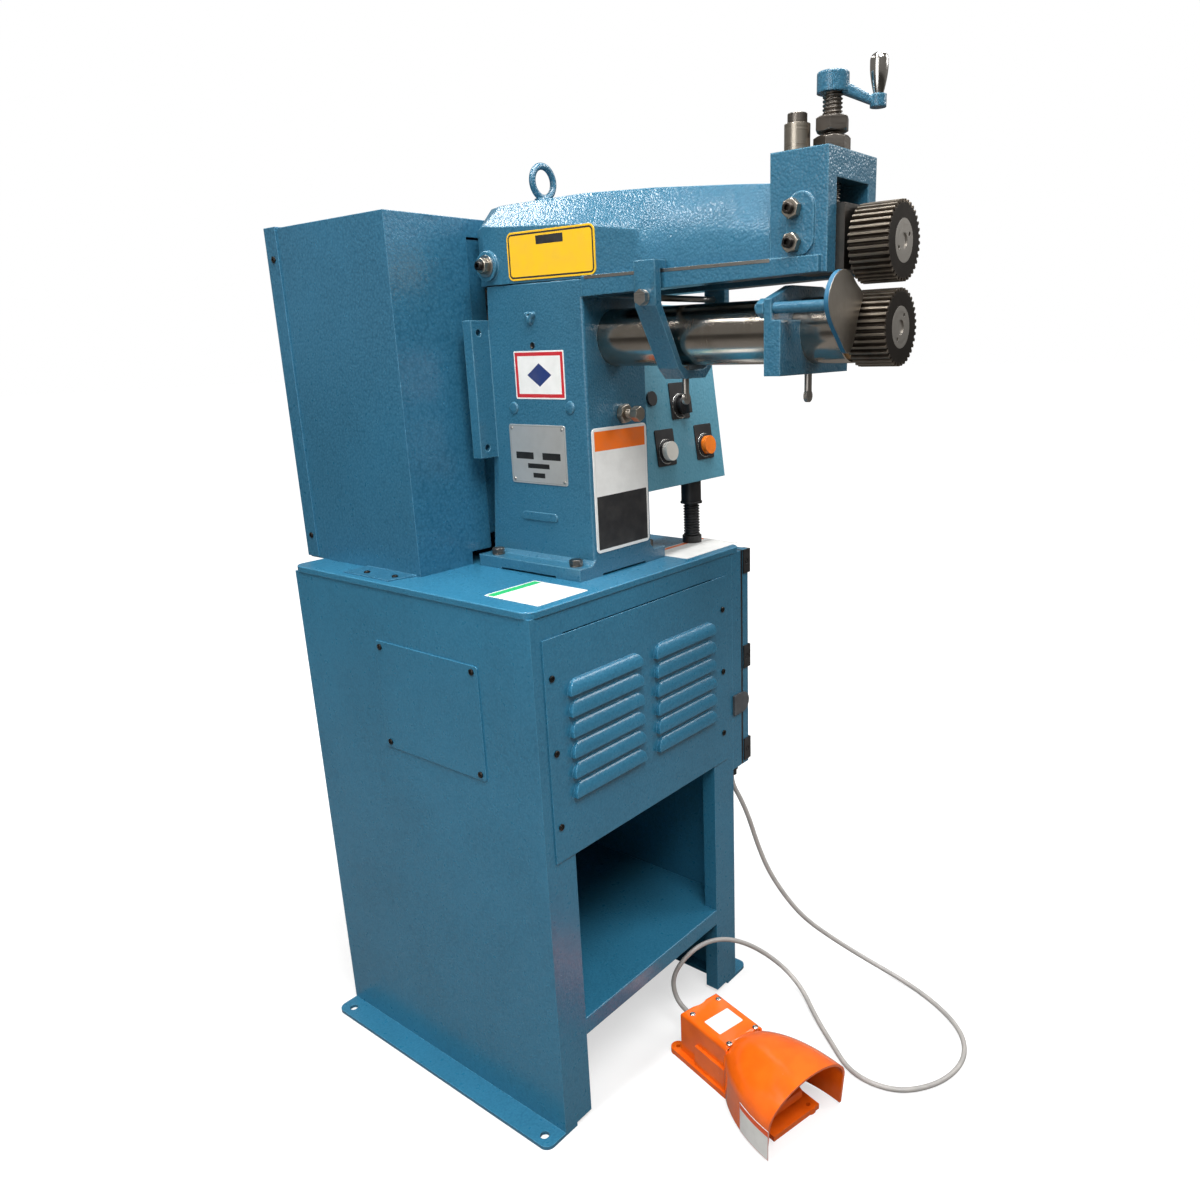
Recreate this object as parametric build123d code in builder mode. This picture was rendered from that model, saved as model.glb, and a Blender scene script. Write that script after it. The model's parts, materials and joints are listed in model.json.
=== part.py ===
from build123d import *
import os
from math import asin, cos, hypot, radians, sin, tan

# A motor-driven rotary machine on a cabinet stand, with a foot switch on its cable.
# Millimetres. The origin is on the floor under the middle of the cabinet. The operator stands
# on the -Y side, +X is to the operator's right and +Z is up.

# General
overrun = 2.0  # how far cuts run past the faces they open
running_gap = 0.06  # radial gap of a shaft in its bush
seat_gap = 0.3  # gap between pieces of different bodies that lie beside each other
fit_gap = 0.1  # gap round a piece that sits in a hole of its own body
machined_edge = 1.0  # chamfer of machined edges
bend_edge_share = 0.9  # radius of a folded edge, of the sheet

# Cabinet
cabinet_width = 454.1
cabinet_depth = 526.9
cabinet_height = 813.0
cabinet_sheet = 3.0
belt_slot_share = 0.7  # half length of the belt's slot, of the driven sheave's radius
top_plate_thickness = 9.0
top_plate_reach = 2.0  # past the cabinet's sides
top_plate_corner = 18.0
post_width = 56.7
post_return = 25.0  # depth of the folded edge behind each post
rail_height = 31.0
foot_plate_thickness = 6.0
foot_plate_reach = 38.25
foot_plate_inset = 25.0
foot_plate_corner = 14.0
anchor_reach = 21.35  # of the anchor holes, past the cabinet's sides
anchor_inset = 23.15  # from its front and back
anchor_hole_radius = 7.0
shelf_top = 171.5
shelf_lip = 28.0
shelf_sheet = 2.5
platform_top = 452.0
platform_front = -212.0

# Louvre panel and side cover
panel_margin = 18.45  # beside the panel, on each side
panel_low = 449.6
panel_high = 771.8
panel_sheet = 2.0
louvre_width_share = 0.3653  # of the panel's width
louvre_height = 21.0
louvre_depth = 8.0
louvre_pitch = 30.0
louvre_rows = 6
louvre_corner_share = 0.8  # of its height
louvre_slot_share = 0.5
louvre_first = 535.0  # height of the lowest open edge
louvre_centre_share = 0.2211  # of the panel's width, to both sides
side_cover_width = 226.0
side_cover_height = 170.0
side_cover_middle = (-44.5, 637.5)  # along Y and Z
side_cover_screws = (204.0, 152.0)
screw_head_radius = 4.6
screw_head_height = 2.8
screw_head_top = 3.0  # radius
screw_shank_radius = 2.4
screw_shank_length = 9.0
panel_screw_inset = 12.6
panel_screw_heights = (502.0, 611.0, 717.3)

# Arm, column and head
arm_middle = 24.0  # X of the plane that halves the frame, the tube and the rolls
column_half_width = 64.5
column_front = -210.0
base_half_width = 97.0
base_foot_height = 3.0
base_foot_length = 48.0
base_top = 831.0
base_fillet = 6.0
base_bolt_half_spacing = 81.0
base_bolt_front = -188.0
base_bolt_rear = -26.0
base_bolt_radius = 5.0
column_back = ((0.0, 831.0), (-16.0, 986.0), (-25.0, 1172.0), (-28.0, 1217.0))  # (y, z)
cast_wall = 12.0
arm_flange_half_width = 65.0
arm_flange_bottom = 1195.0  # at the column
arm_flange_bottom_front = 1203.0  # at the head
ledge_height = 1220.5
flange_front = -562.0
arm_cavity_half_width = 38.05
arm_cavity_top = 1284.0
arm_cavity_floor = 1206.0
arm_cavity_back = -2.0
# Each station of the arm: y, half width at the ledge, shoulder height, crest half width, crest height
arm_stations = (
    (12.0, 36.0, 1286.0, 16.0, 1316.0),
    (-6.0, 55.0, 1293.0, 25.0, 1325.0),
    (-30.0, 66.5, 1297.0, 30.0, 1326.5),
    (-60.0, 67.0, 1293.5, 31.0, 1326.5),
    (-190.0, 59.6, 1286.0, 29.0, 1326.0),
    (-307.0, 53.0, 1269.0, 26.0, 1320.0),
    (-427.0, 53.0, 1258.0, 24.0, 1310.0),
    (-500.0, 53.0, 1252.0, 23.0, 1303.0),
)
head_half_width = 57.35
head_front = -568.5
head_back = -496.0
head_bottom = 1203.0
head_top = 1330.0
window_half_width = 38.05
window_top = 1300.0
head_edge = 3.0
pad_front = -553.0
pad_back = -519.0
pad_low = 1222.0
pad_high = 1287.0
pad_height = 3.0
ear_reach = 8.5  # past the base's side line, from the column
ear_half_width = 97.0
ear_front = -24.0
ear_thickness = 18.0
ear_low = 977.0
ear_high = 1172.0
ear_hole_radius = 4.8
ear_hole_heights = (992.0, 1155.0)
ear_hole_inset = 13.0

pivot_boss_radius = 20.0
pivot_boss_reach = 72.0  # from the arm's middle
adjuster_radius = 6.0
side_screw_y = -527.5
side_screw_heights = (1235.0, 1270.0)
front_screw = (32.0, 1039.0)  # X and Z, on the column's front
cast_edge = 4.0
upper_shaft_play = 4.0
eye_bolt_y = -88.0
eye_bolt_foot = 1300.0
eye_shank_radius = 6.0

adjuster_nut_flats = 19.0
adjuster_nut_height = 9.0
adjuster_reach = 6.0  # past its nut
adjuster_socket_radius = 3.4
adjuster_socket_depth = 5.0
pivot_washer_radius = 15.0
base_nut_flats = 17.0
base_nut_height = 8.0
front_nut_flats = 24.0
front_nut_height = 10.0
front_head_flats = 19.0
front_head_height = 12.0
front_screw_gap = 12.0
eye_ring_radius = 20.5
eye_wire_radius = 4.6
eye_ring_height = 1354.0
eye_collar_radius = 13.0
eye_collar_height = 6.0

# Plates on the casting, left bare
plate_thickness = 1.2
arm_plate_low = (-232.0, 1221.5)
arm_plate_high = (-77.0, 1284.0)
rating_plate_low = (-166.0, 941.0)
rating_plate_high = (-53.0, 1026.0)
rivet_radius = 2.2
rivet_inset = 5.0
front_plate_low = (-30.0, 862.0)
front_plate_high = (78.0, 1016.0)
plate_corner = 5.0

# Shafts, rolls, gears and their bearings
top_turn = 90.0  # turn of a wheel with one tooth at the top
lower_axis = 1142.0
upper_axis = 1232.6
tube_radius = 38.0
tube_bore_radius = 30.0
tube_gap = 10.0  # to the roll
tube_socket_back = -150.0
lower_shaft_radius = 19.0
upper_shaft_radius = 16.0
shaft_back_lower = 146.0
shaft_back_upper = 68.0
bush_length = 50.0
bush_flange_radius = 34.0
bush_flange = 8.0
rear_bush_radius = 27.0
rear_bush_front = -58.0
rear_bush_back = 12.0
roll_radius = 42.3
roll_root_radius = 38.6
roll_teeth = 36
roll_back = -585.0
roll_front = -632.0
roll_tip_share = 0.34
roll_root_share = 0.72
retainer_radius = 22.8
retainer_thickness = 6.0
retainer_recess_radius = 8.0
retainer_recess_depth = 1.5
spanner_hole_radius = 2.2
spanner_hole_circle = 15.0
lower_retainer_turn = 60.0
upper_retainer_turn = 30.0
gear_teeth = 18
gear_tip_addendum = 3.9
gear_root_dedendum = 5.2
gear_front = 30.0
gear_width = 30.0
gear_tip_share = 0.17
gear_pitch_share = 0.38
gear_root_share = 0.60
trunnion_y = -37.0
trunnion_z = 1244.0
pivot_depth = 8.0  # of a pivot screw in the rear bearing
rear_bearing_half_width = 33.0
rear_bearing_half_length = 20.0
rear_bearing_low = 1210.0
rear_bearing_high = 1266.0
block_top = 1274.0
block_bottom = 1205.0
block_front = -579.0
block_back = -498.0
block_gap = 0.24  # sliding gap beside the block

# Crank, its screw and the lift spring
screw_y = -541.0
screw_radius = 11.1
screw_bottom = 1279.0
shoe_radius = 9.0
screw_top = 1398.0
guide_nut_height = 18.0
guide_nut_flats = 36.4
stop_nut_bottom = 1352.0
stop_nut_height = 16.0
stop_nut_flats = 33.8
hub_radius = 17.75
hub_low = 1391.5
hub_high = 1412.0
hub_dome = 2.0
crank_end = (48.0, -584.0)
crank_end_low = 1374.5
crank_end_high = 1387.0
crank_end_radius = 9.0
crank_arm_width = 15.0
crank_arm_height = 15.0
crank_tip_width = 11.0
crank_tip_height = 8.0
handle_pin_radius = 4.0
handle_pin_length = 22.0
handle_low = 1387.3
handle_high = 1428.0
handle_neck_radius = 5.2
handle_top_radius = 10.0
handle_widest_share = 0.705  # of its length
handle_crown_share = 0.625  # of the length past its widest place
handle_swell_share = 0.6
spring_can = (-1.0, -511.0)
spring_can_radius = 14.5
spring_can_height = 34.0
spring_can_wall = 2.5
lift_bolt_head_radius = 11.0
lift_bolt_head_height = 8.0
lift_bolt_slot = 2.5
lift_bolt_radius = 4.0
lift_bolt_depth = 14.0
lift_bolt_skirt = 3.0
lift_spring_outer = 8.5
lift_spring_inner = 4.8

# Brace strap under the arm
strap_back = -313.5
strap_width = 33.0
strap_outer = 80.0
strap_thickness = 11.0
strap_inset_share = 0.78
strap_lip_inner = 58.0
strap_lip_top = 1231.0
strap_bend = 1177.5
strap_low_half = 36.5
strap_low_bend = 1101.0
strap_bottom = 1087.5
strap_foot_half = 22.0
strap_bolt_y = -328.0
strap_bolt_height = 1187.5
strap_bolt_radius = 4.0
strap_bolt_flats = 17.0
strap_bolt_head = 7.0
strap_bolt_end = 4.0
washer_radius = 9.5
washer_thickness = 1.8
thumb_radius = 4.5
thumb_tab_radius = 7.5
thumb_tab_thickness = 4.5
thumb_shank = 26.0
thumb_tab_height = 19.0

# Gauge on the lower tube
bracket_half_width = 81.7
bracket_bottom = 1092.5
bracket_shoulder = 1177.0
bracket_top = 1192.5
bracket_top_half = 36.0
bracket_back = -503.0
bracket_plate = 10.0
bracket_thickness = 21.6
bracket_step = 1154.0
gauge_rod_x = -50.0
gauge_rod_z = 1167.0
gauge_rod_radius = 6.35
gauge_rod_front = -596.0
gauge_rod_reach = 4.2  # past its nut
gauge_nut_flats = 19.0
gauge_nut_height = 9.0
gauge_plate_thickness = 6.0
gauge_screw_y = -515.0

gauge_clearance = 3.5
# The gauge plate's outline as offsets from its rod, clockwise from the top
gauge_outline = (
    (-6.0, 35.0),
    (12.0, 30.0),
    (26.0, 20.0),
    (38.0, 12.0),
    (30.0, -10.0),
    (22.0, -34.0),
    (7.0, -51.0),
    (-8.0, -40.0),
    (-30.0, -18.0),
    (-39.0, 2.0),
    (-31.0, 22.0),
)

# Motor and belt drive
motor_axis = 560.0
motor_radius = 74.0
motor_back = 0.0
motor_front = -225.0
motor_end_radius = 66.0
motor_end_length = 22.0
motor_end_share = 0.8
motor_fin_count = 28
motor_fin_depth = 5.0
motor_fin_width = 3.0
motor_foot_half_width = 80.0
motor_foot_thickness = 12.0
motor_foot_length = 46.0
terminal_box = (60.0, 90.0, 44.0)
reducer_half_width = 62.0
reducer_half_height = 62.0
reducer_length = 104.0
reducer_edge = 8.0
belt_y = 129.0
output_shaft_radius = 14.0
output_socket = 40.0
drive_sheave_radius = 38.0
driven_sheave_radius = 140.0
sheave_width = 22.0
groove_depth = 10.0
groove_top_width = 13.0
groove_bottom_width = 8.5
belt_thickness = 8.0
belt_width = 7.9
sheave_hub_radius = 32.0
sheave_hub_length = 34.0
sheave_web = 10.0
sheave_rim = 24.0
sheave_windows = 5
sheave_window_radius = 24.0
sheave_window_circle = 74.0

# Guard behind the column
guard_left = -174.0
guard_right = 222.0
guard_front = 16.0
guard_back = 300.0
guard_top = 1313.0
guard_sheet = 2.0
guard_flange_left = 43.0
guard_flange_right = 28.0
guard_flange_slant = 20.0
guard_flange_length = 130.0
guard_opening_half = 58.0
guard_opening_top = 1288.0
guard_base_cut = 833.0
cover_lap = 25.0
cover_depth = 5.0
guard_screw_heights = (850.0, 1270.0)
flange_screws = ((-202.0, 107.0), (-197.0, 46.0), (237.0, 107.0), (237.0, 46.0))

# Control box on the column's right
control_left = 88.8
control_right = 303.0
control_bottom = 917.0
control_top = 1190.0
control_front = -200.0
control_lean = 0.129
control_back = -125.0
control_sheet = 2.0
panel_cut_depth = -3 * control_sheet  # a hole in the panel starts this far inside it
legend_width = 46.0
legend_height = 56.0
legend_thickness = 1.5
bezel_radius = 17.5
bezel_height = 4.0
cap_radius = 14.8
cap_height = 9.0
button_travel = 3.0
plunger_radius = 8.0
button_height = 972.0
start_x = 152.0
stop_x = 254.0
selector_x = 201.0
selector_height = 1038.0
plug_x = 132.0
plug_height = 1053.0
plug_radius = 11.0
legend_rise = 6.0
selector_legend_rise = 8.0
knob_radius = 12.5
knob_height = 10.0
grip_width = 7.0
grip_rise = 10.0
contact_size = (30.0, 26.0, 34.0)
contact_gap = 14.0

# Conduit from the control box to the cabinet's top
conduit_x = 236.0
conduit_y = -178.0
conduit_radius = 13.35
conduit_root_radius = 11.4
conduit_bore_radius = 9.5
conduit_low = 822.0
conduit_high = 879.0
conduit_ribs = 11
conduit_end = 3.0
rib_start_share = 0.15
rib_rise_share = 0.35
rib_fall_share = 0.70
rib_end_share = 0.90
conduit_nut_radius = 16.0
connector_radius = 16.5
connector_ring_radius = 18.0
connector_ring = 3.0
connector_low = 882.0

# Electrical enclosure on the cabinet's right side
enclosure_reach = 26.0
enclosure_length = 380.0
enclosure_bottom = 420.9
enclosure_sheet = 2.0
recess_depth = 96.0
recess_front = -198.0
recess_inset = 20.0
recess_lift = 3.0  # above the motor's platform
door_gap = 6.0
door_depth = 17.0
door_sheet = 2.0
seal_width = 14.0
clamp_heights = (447.0, 618.0, 784.0)
clamp_height = 40.0
clamp_length = 12.0
clamp_rise = 2.5
clamp_hollow = 5.0
clamp_screw = 3.0
hasp_height = 539.5
hasp_tall = 35.0
hasp_reach = 44.0
hasp_thickness = 3.0
hasp_offset = 1.2
starter_unit = (62.0, 44.0, 78.0)
starter_rows = (5, 3, 2)
starter_margin = 16.0
hinge_offset = (27.45, 2.45)  # of the axis, from the enclosure's rear edge
hinge_radius = 4.0
hinge_pin_radius = 2.0
hinge_leaf = 2.0
hinge_leaf_reach = 16.0
hinge_height = 44.0
hinge_knuckle = 14.0
hinge_heights = (480.0, 745.0)

# Foot switch
foot_turn = 13.5
foot_origin = (49.1, -300.2)
foot_length = 237.0
foot_width = 97.0
foot_base_height = 9.0
foot_ear = 12.0
foot_ear_hole = 3.4
housing_half_width = 39.0
housing_back = 12.0
housing_top = 84.0
neck = 122.0
hood_wall = 4.0
housing_wall = 4.0
foot_ears = ((-37.0, -1.0), (35.0, -227.0))
housing_edge = 7.0
housing_skirt = 5.0
housing_skirt_back = 52.0
housing_skirt_top = 46.0
scallop_radius = 24.0
scallop_depth = 7.0
foot_screw_x = 28.0
foot_screw_y = (-30.0, -118.0)
hood_low = 4.0
# Each section of the hood: distance from the rear edge, half width, shoulder height, crown height
hood_sections = (
    (116.0, 39.0, 62.0, 84.0),
    (150.0, 60.0, 60.0, 98.0),
    (185.0, 73.0, 58.0, 105.0),
    (268.0, 81.0, 58.0, 108.0),
)
hood_front_low = 252.0
hood_front_high = 263.0
treadle_pivot = (-130.0, 34.0)
treadle_half_width = 30.0
# Side outline of the treadle: distance from the rear edge and height
treadle_outline = (
    (124.0, 28.0),
    (124.0, 44.0),
    (132.0, 47.0),
    (206.0, 39.0),
    (218.0, 33.0),
    (219.0, 20.0),
    (213.0, 20.0),
    (211.0, 28.0),
)
treadle_ribs = 9
treadle_rib_first = 140.0
treadle_rib_last = 204.0
treadle_rib_width = 3.5
treadle_rib_height = 2.5
treadle_pin_radius = 4.0
treadle_lug = 4.5
treadle_lug_half = 8.0
treadle_slope = 0.108

# Foot switch cable
cable_radius = 4.0
gland_radius = 9.0
gland_collar_radius = 11.5
top_gland_offset = (-12.05, 13.45)  # from the enclosure's front edge
top_gland_length = 16.0
foot_gland_length = 24.0
foot_gland_height = 46.0
cable_lead = 21.0
bend_share = 0.45
# Corner points of the cable's middle line: under the upper gland, counted from its axis, then over the floor
cable_drop = (
    (0.0, 0.0, 387.0),
    (7.0, -15.0, 356.0),
    (15.0, -27.0, 318.0),
    (23.6, -38.0, 268.0),
    (36.0, -55.0, 210.0),
    (57.0, -84.0, 150.0),
    (80.0, -111.0, 105.0),
    (121.0, -157.0, 53.0),
    (145.0, -210.0, 20.0),
)
cable_run = (
    (391.0, -521.0, 4.5),
    (371.0, -581.0, 4.5),
    (345.0, -630.0, 4.5),
    (314.0, -664.0, 4.5),
    (273.0, -683.0, 4.5),
    (228.0, -683.0, 4.5),
    (183.0, -667.0, 4.5),
    (142.0, -632.0, 4.5),
    (128.0, -586.0, 4.5),
    (136.0, -541.0, 4.5),
    (169.0, -497.0, 4.5),
    (210.0, -442.0, 6.0),
    (254.0, -391.0, 12.0),
    (263.0, -350.0, 32.0),
    (241.0, -320.0, 66.0),
    (203.0, -300.0, 102.0),
    (160.0, -284.0, 129.0),
    (112.0, -272.0, 141.0),
    (80.0, -256.0, 122.0),
    (64.0, -245.0, 92.0),
    (60.0, -250.0, 64.0),
)

# Directions
up = (0, 0, 1)
down = (0, 0, -1)
rightward = (1, 0, 0)
rearward = (0, 1, 0)
frontward = (0, -1, 0)
leftward = (-1, 0, 0)

# Derived planes and sizes
half_width = cabinet_width / 2
half_depth = cabinet_depth / 2
shell_top = cabinet_height - top_plate_thickness
post_inner = half_width - post_width
front_face = -half_depth
enclosure_face = half_width + enclosure_reach
enclosure_rear = front_face + enclosure_length
door_inner = enclosure_face + door_gap
door_outer = door_inner + door_depth
hinge_axis = (enclosure_face + hinge_offset[0], enclosure_rear + hinge_offset[1])
top_gland = (enclosure_face + top_gland_offset[0], front_face + top_gland_offset[1])
recess_low = platform_top + recess_lift
recess_high = shell_top - recess_inset
recess_rear = enclosure_rear - recess_inset
panel_width = cabinet_width - 2 * panel_margin
panel_screw_x = panel_width / 2 - panel_screw_inset
louvre_width = louvre_width_share * panel_width
louvre_centres = (-louvre_centre_share * panel_width, louvre_centre_share * panel_width)
anchor_spacing_x = cabinet_width + 2 * anchor_reach
anchor_spacing_y = cabinet_depth - 2 * anchor_inset
panel_screws = [(x, z) for x in (-panel_screw_x, panel_screw_x) for z in panel_screw_heights]
cover_screw_places = [
    (
        side_cover_middle[0] + i * side_cover_screws[0] / 2,
        side_cover_middle[1] + j * side_cover_screws[1] / 2,
    )
    for i in (-1, 1)
    for j in (-1, 1)
]
tube_front = roll_back + tube_gap
handle_widest = handle_low + handle_widest_share * (handle_high - handle_low)
handle_crown = handle_crown_share * (handle_high - handle_widest)
gear_centre_distance = upper_axis - lower_axis
gear_pitch_radius = gear_centre_distance / 2


foot_back = (sin(radians(foot_turn)), cos(radians(foot_turn)), 0)
foot_right = (cos(radians(foot_turn)), -sin(radians(foot_turn)), 0)
foot_frame = Plane(origin=(*foot_origin, 0), x_dir=foot_right, z_dir=(0, 0, 1))


def foot_point(x, y, z):
    """A point of the foot switch's own frame, whose Y points away from the operator."""
    return (
        foot_origin[0] + x * foot_right[0] + y * foot_back[0],
        foot_origin[1] + x * foot_right[1] + y * foot_back[1],
        z,
    )


def block(low, high, mode=Mode.ADD):
    """A box between two opposite corners."""
    middle = tuple((a + b) / 2 for a, b in zip(low, high))
    with Locations(middle):
        Box(*[b - a for a, b in zip(low, high)], mode=mode)


def rod(start, direction, radius, length, mode=Mode.ADD):
    """A round bar from a point along a direction."""
    with Locations(Plane(origin=start, z_dir=direction)):
        Cylinder(radius, length, align=(Align.CENTER, Align.CENTER, Align.MIN), mode=mode)


def taper(start, direction, low_radius, high_radius, length, mode=Mode.ADD):
    """A cone from a point along a direction."""
    with Locations(Plane(origin=start, z_dir=direction)):
        Cone(low_radius, high_radius, length, align=(Align.CENTER, Align.CENTER, Align.MIN), mode=mode)


def drill(start, direction, radius, length):
    """A round hole from a point along a direction, cut past both its ends."""
    begin = Vector(start) - Vector(direction) * overrun
    rod(begin, direction, radius, length + 2 * overrun, Mode.SUBTRACT)


def hexagon(start, direction, flats, height, mode=Mode.ADD):
    """A hexagonal nut or bolt head from a point along a direction."""
    with BuildSketch(Plane(origin=start, z_dir=direction)) as outline:
        RegularPolygon(flats / 2, 6, major_radius=False)
    extrude(outline.sketch, amount=height, mode=mode)


def prism(plane, points, depth, mode=Mode.ADD, both=False):
    """A straight prism on a plane from its corner points."""
    with BuildSketch(plane) as outline:
        with BuildLine():
            Polyline(*points, close=True)
        make_face()
    extrude(outline.sketch, amount=depth, both=both, mode=mode)


def screw_hole(face, out, depth):
    """A hole for a cover screw through a sheet, from its outer face inward."""
    start = Vector(face) + Vector(out) * overrun
    rod(start, -Vector(out), screw_shank_radius + fit_gap, depth + 2 * overrun, Mode.SUBTRACT)


def foot_block(x, y, z, mode=Mode.ADD):
    """A box in the foot switch's own frame between pairs of limits."""
    with BuildSketch(foot_frame.offset(z[0])) as outline:
        with Locations(((x[0] + x[1]) / 2, (y[0] + y[1]) / 2)):
            Rectangle(x[1] - x[0], y[1] - y[0])
    extrude(outline.sketch, amount=z[1] - z[0], mode=mode)


def write(name, builder):
    """Labels a finished piece and writes its STEP file."""
    builder.part.label = name
    export_step(builder.part, f"parts/{name}.step")


def side_plane(x):
    """A plane across X whose own axes are Y and Z."""
    return Plane(origin=(x, 0, 0), x_dir=(0, 1, 0), z_dir=(1, 0, 0))


def front_plane(y):
    """A plane across Y, facing the operator, whose own axes are X and Z."""
    return Plane(origin=(0, y, 0), x_dir=(1, 0, 0), z_dir=(0, -1, 0))


os.makedirs("parts", exist_ok=True)

# Cabinet
with BuildPart() as cabinet_shell:
    block((-half_width, -half_depth, foot_plate_thickness), (half_width, half_depth, shell_top))
    inner = half_width - cabinet_sheet
    inner_y = half_depth - cabinet_sheet
    block((-inner, -inner_y, -overrun), (inner, inner_y, shell_top + overrun), Mode.SUBTRACT)
    opening_top = shell_top - rail_height
    block(
        (-post_inner, -half_depth - overrun, -overrun),
        (post_inner, -inner_y + overrun, opening_top),
        Mode.SUBTRACT,
    )
    for side in (-1, 1):
        post_edge = side * post_inner
        fold = side * (post_inner + cabinet_sheet)
        block(
            (min(post_edge, fold), -half_depth, foot_plate_thickness),
            (max(post_edge, fold), -half_depth + post_return, opening_top),
        )
        plate_in = side * (half_width - foot_plate_inset)
        plate_out = side * (half_width + foot_plate_reach)
        block(
            (min(plate_in, plate_out), -half_depth, 0),
            (max(plate_in, plate_out), half_depth, foot_plate_thickness),
        )
    outer_corners = cabinet_shell.edges().filter_by(Axis.Z).filter_by(
        lambda e: abs(abs(e.center().X) - half_width - foot_plate_reach) < overrun
    )
    fillet(outer_corners, foot_plate_corner)
    with Locations((0, 0, foot_plate_thickness)):
        with GridLocations(anchor_spacing_x, anchor_spacing_y, 2, 2):
            Hole(anchor_hole_radius)
    # Platform that carries the motor
    block((-inner, platform_front, platform_top - cabinet_sheet), (inner, inner_y, platform_top))
    # Hand hole behind the side cover
    cover_y, cover_z = side_cover_middle
    hole_y = side_cover_width / 2 - cover_lap
    hole_z = side_cover_height / 2 - cover_lap
    block(
        (-half_width - overrun, cover_y - hole_y, cover_z - hole_z),
        (-inner + overrun, cover_y + hole_y, cover_z + hole_z),
        Mode.SUBTRACT,
    )
    # Cut-out for the enclosure's recess
    block(
        (inner - overrun, recess_front - fit_gap, recess_low - fit_gap),
        (half_width + overrun, recess_rear + fit_gap, recess_high + fit_gap),
        Mode.SUBTRACT,
    )
    for x, z in panel_screws:
        screw_hole((x, front_face, z), frontward, cabinet_sheet)
    for y, z in cover_screw_places:
        screw_hole((-half_width, y, z), leftward, cabinet_sheet)
write("cabinet_shell", cabinet_shell)

with BuildPart() as cabinet_top:
    plate_left = -half_width - top_plate_reach
    plate_middle = (plate_left + enclosure_face) / 2
    with BuildSketch(Plane.XY.offset(shell_top)):
        with Locations((plate_middle, 0)):
            RectangleRounded(
                enclosure_face - plate_left,
                cabinet_depth + 2 * top_plate_reach,
                top_plate_corner,
            )
    extrude(amount=top_plate_thickness)
    slot_half = driven_sheave_radius * belt_slot_share
    block(
        (arm_middle - slot_half, belt_y - sheave_width, shell_top - overrun),
        (arm_middle + slot_half, belt_y + sheave_width, cabinet_height + overrun),
        Mode.SUBTRACT,
    )
    for x in (arm_middle - base_bolt_half_spacing, arm_middle + base_bolt_half_spacing):
        for y in (base_bolt_front, base_bolt_rear):
            rod(
                (x, y, shell_top - overrun),
                up,
                base_bolt_radius + fit_gap,
                top_plate_thickness * 2,
                Mode.SUBTRACT,
            )
    rod(
        (conduit_x, conduit_y, shell_top - overrun),
        up,
        conduit_bore_radius,
        top_plate_thickness * 2,
        Mode.SUBTRACT,
    )
    for x, y in flange_screws:
        screw_hole((x, y, cabinet_height), up, top_plate_thickness)
    chamfer(cabinet_top.faces().sort_by(Axis.Z)[-1].outer_wire().edges(), machined_edge)
write("cabinet_top", cabinet_top)

with BuildPart() as storage_shelf:
    shelf_half = half_width - cabinet_sheet - fit_gap
    shelf_back = half_depth - cabinet_sheet - fit_gap
    lip_half = post_inner - fit_gap
    block(
        (-shelf_half, front_face + post_return + fit_gap, shelf_top - shelf_sheet),
        (shelf_half, shelf_back, shelf_top),
    )
    block(
        (-lip_half, front_face, shelf_top - shelf_sheet),
        (lip_half, front_face + post_return + overrun, shelf_top),
    )
    block(
        (-lip_half, front_face, shelf_top - shelf_lip),
        (lip_half, front_face + shelf_sheet, shelf_top),
    )
    block(
        (-shelf_half, shelf_back - shelf_sheet, shelf_top - shelf_lip), (
            shelf_half,
            shelf_back,
            shelf_top,
        )
    )
    fillet(
        storage_shelf.edges().filter_by(Axis.X).group_by(Axis.Y)[0].sort_by(Axis.Z)[-1],
        shelf_sheet * bend_edge_share,
    )
write("storage_shelf", storage_shelf)

# Louvre panel: each louvre bulges out of the sheet and is open below
def louvre_body(width, height, depth, corner):
    """A quarter-round bulge with rounded upper ends, its open edge on the X axis."""
    with BuildPart() as body:
        with BuildSketch(Plane.YZ) as side:
            with BuildLine():
                arc = EllipticalCenterArc((0, 0), depth, height, start_angle=90, arc_size=90)
                Line(arc @ 1, (0, 0))
                Line((0, 0), arc @ 0)
            make_face()
        extrude(amount=width / 2, both=True)
        with BuildSketch(Plane.XZ.offset(-overrun)) as face:
            with Locations((0, height / 2)):
                Rectangle(width, height)
            fillet(face.vertices().group_by(Axis.Y)[-1], corner)
        extrude(amount=depth + overrun * 2, mode=Mode.INTERSECT)
    return body.part


louvre_outer = louvre_body(
    louvre_width,
    louvre_height,
    louvre_depth,
    louvre_height * louvre_corner_share,
)
louvre_inner = louvre_body(
    louvre_width - 2 * panel_sheet,
    louvre_height - panel_sheet,
    louvre_depth - panel_sheet,
    (louvre_height - panel_sheet) * louvre_corner_share,
)
with BuildPart() as louvre_panel:
    block(
        (-panel_width / 2, front_face - panel_sheet, panel_low),
        (panel_width / 2, front_face, panel_high),
    )
    places = [
        (x, front_face - panel_sheet, louvre_first + row * louvre_pitch)
        for x in louvre_centres
        for row in range(louvre_rows)
    ]
    with Locations(*places):
        add(louvre_outer)
    with Locations(*places):
        add(louvre_inner, mode=Mode.SUBTRACT)
    for x, y, z in places:
        slot_half = louvre_width / 2 - panel_sheet - louvre_height * louvre_slot_share
        block(
            (x - slot_half, y - overrun, z),
            (x + slot_half, front_face + overrun, z + louvre_height - 2 * panel_sheet),
            Mode.SUBTRACT,
        )
    for x, z in panel_screws:
        screw_hole((x, front_face - panel_sheet, z), frontward, panel_sheet)
write("louvre_panel", louvre_panel)

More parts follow.
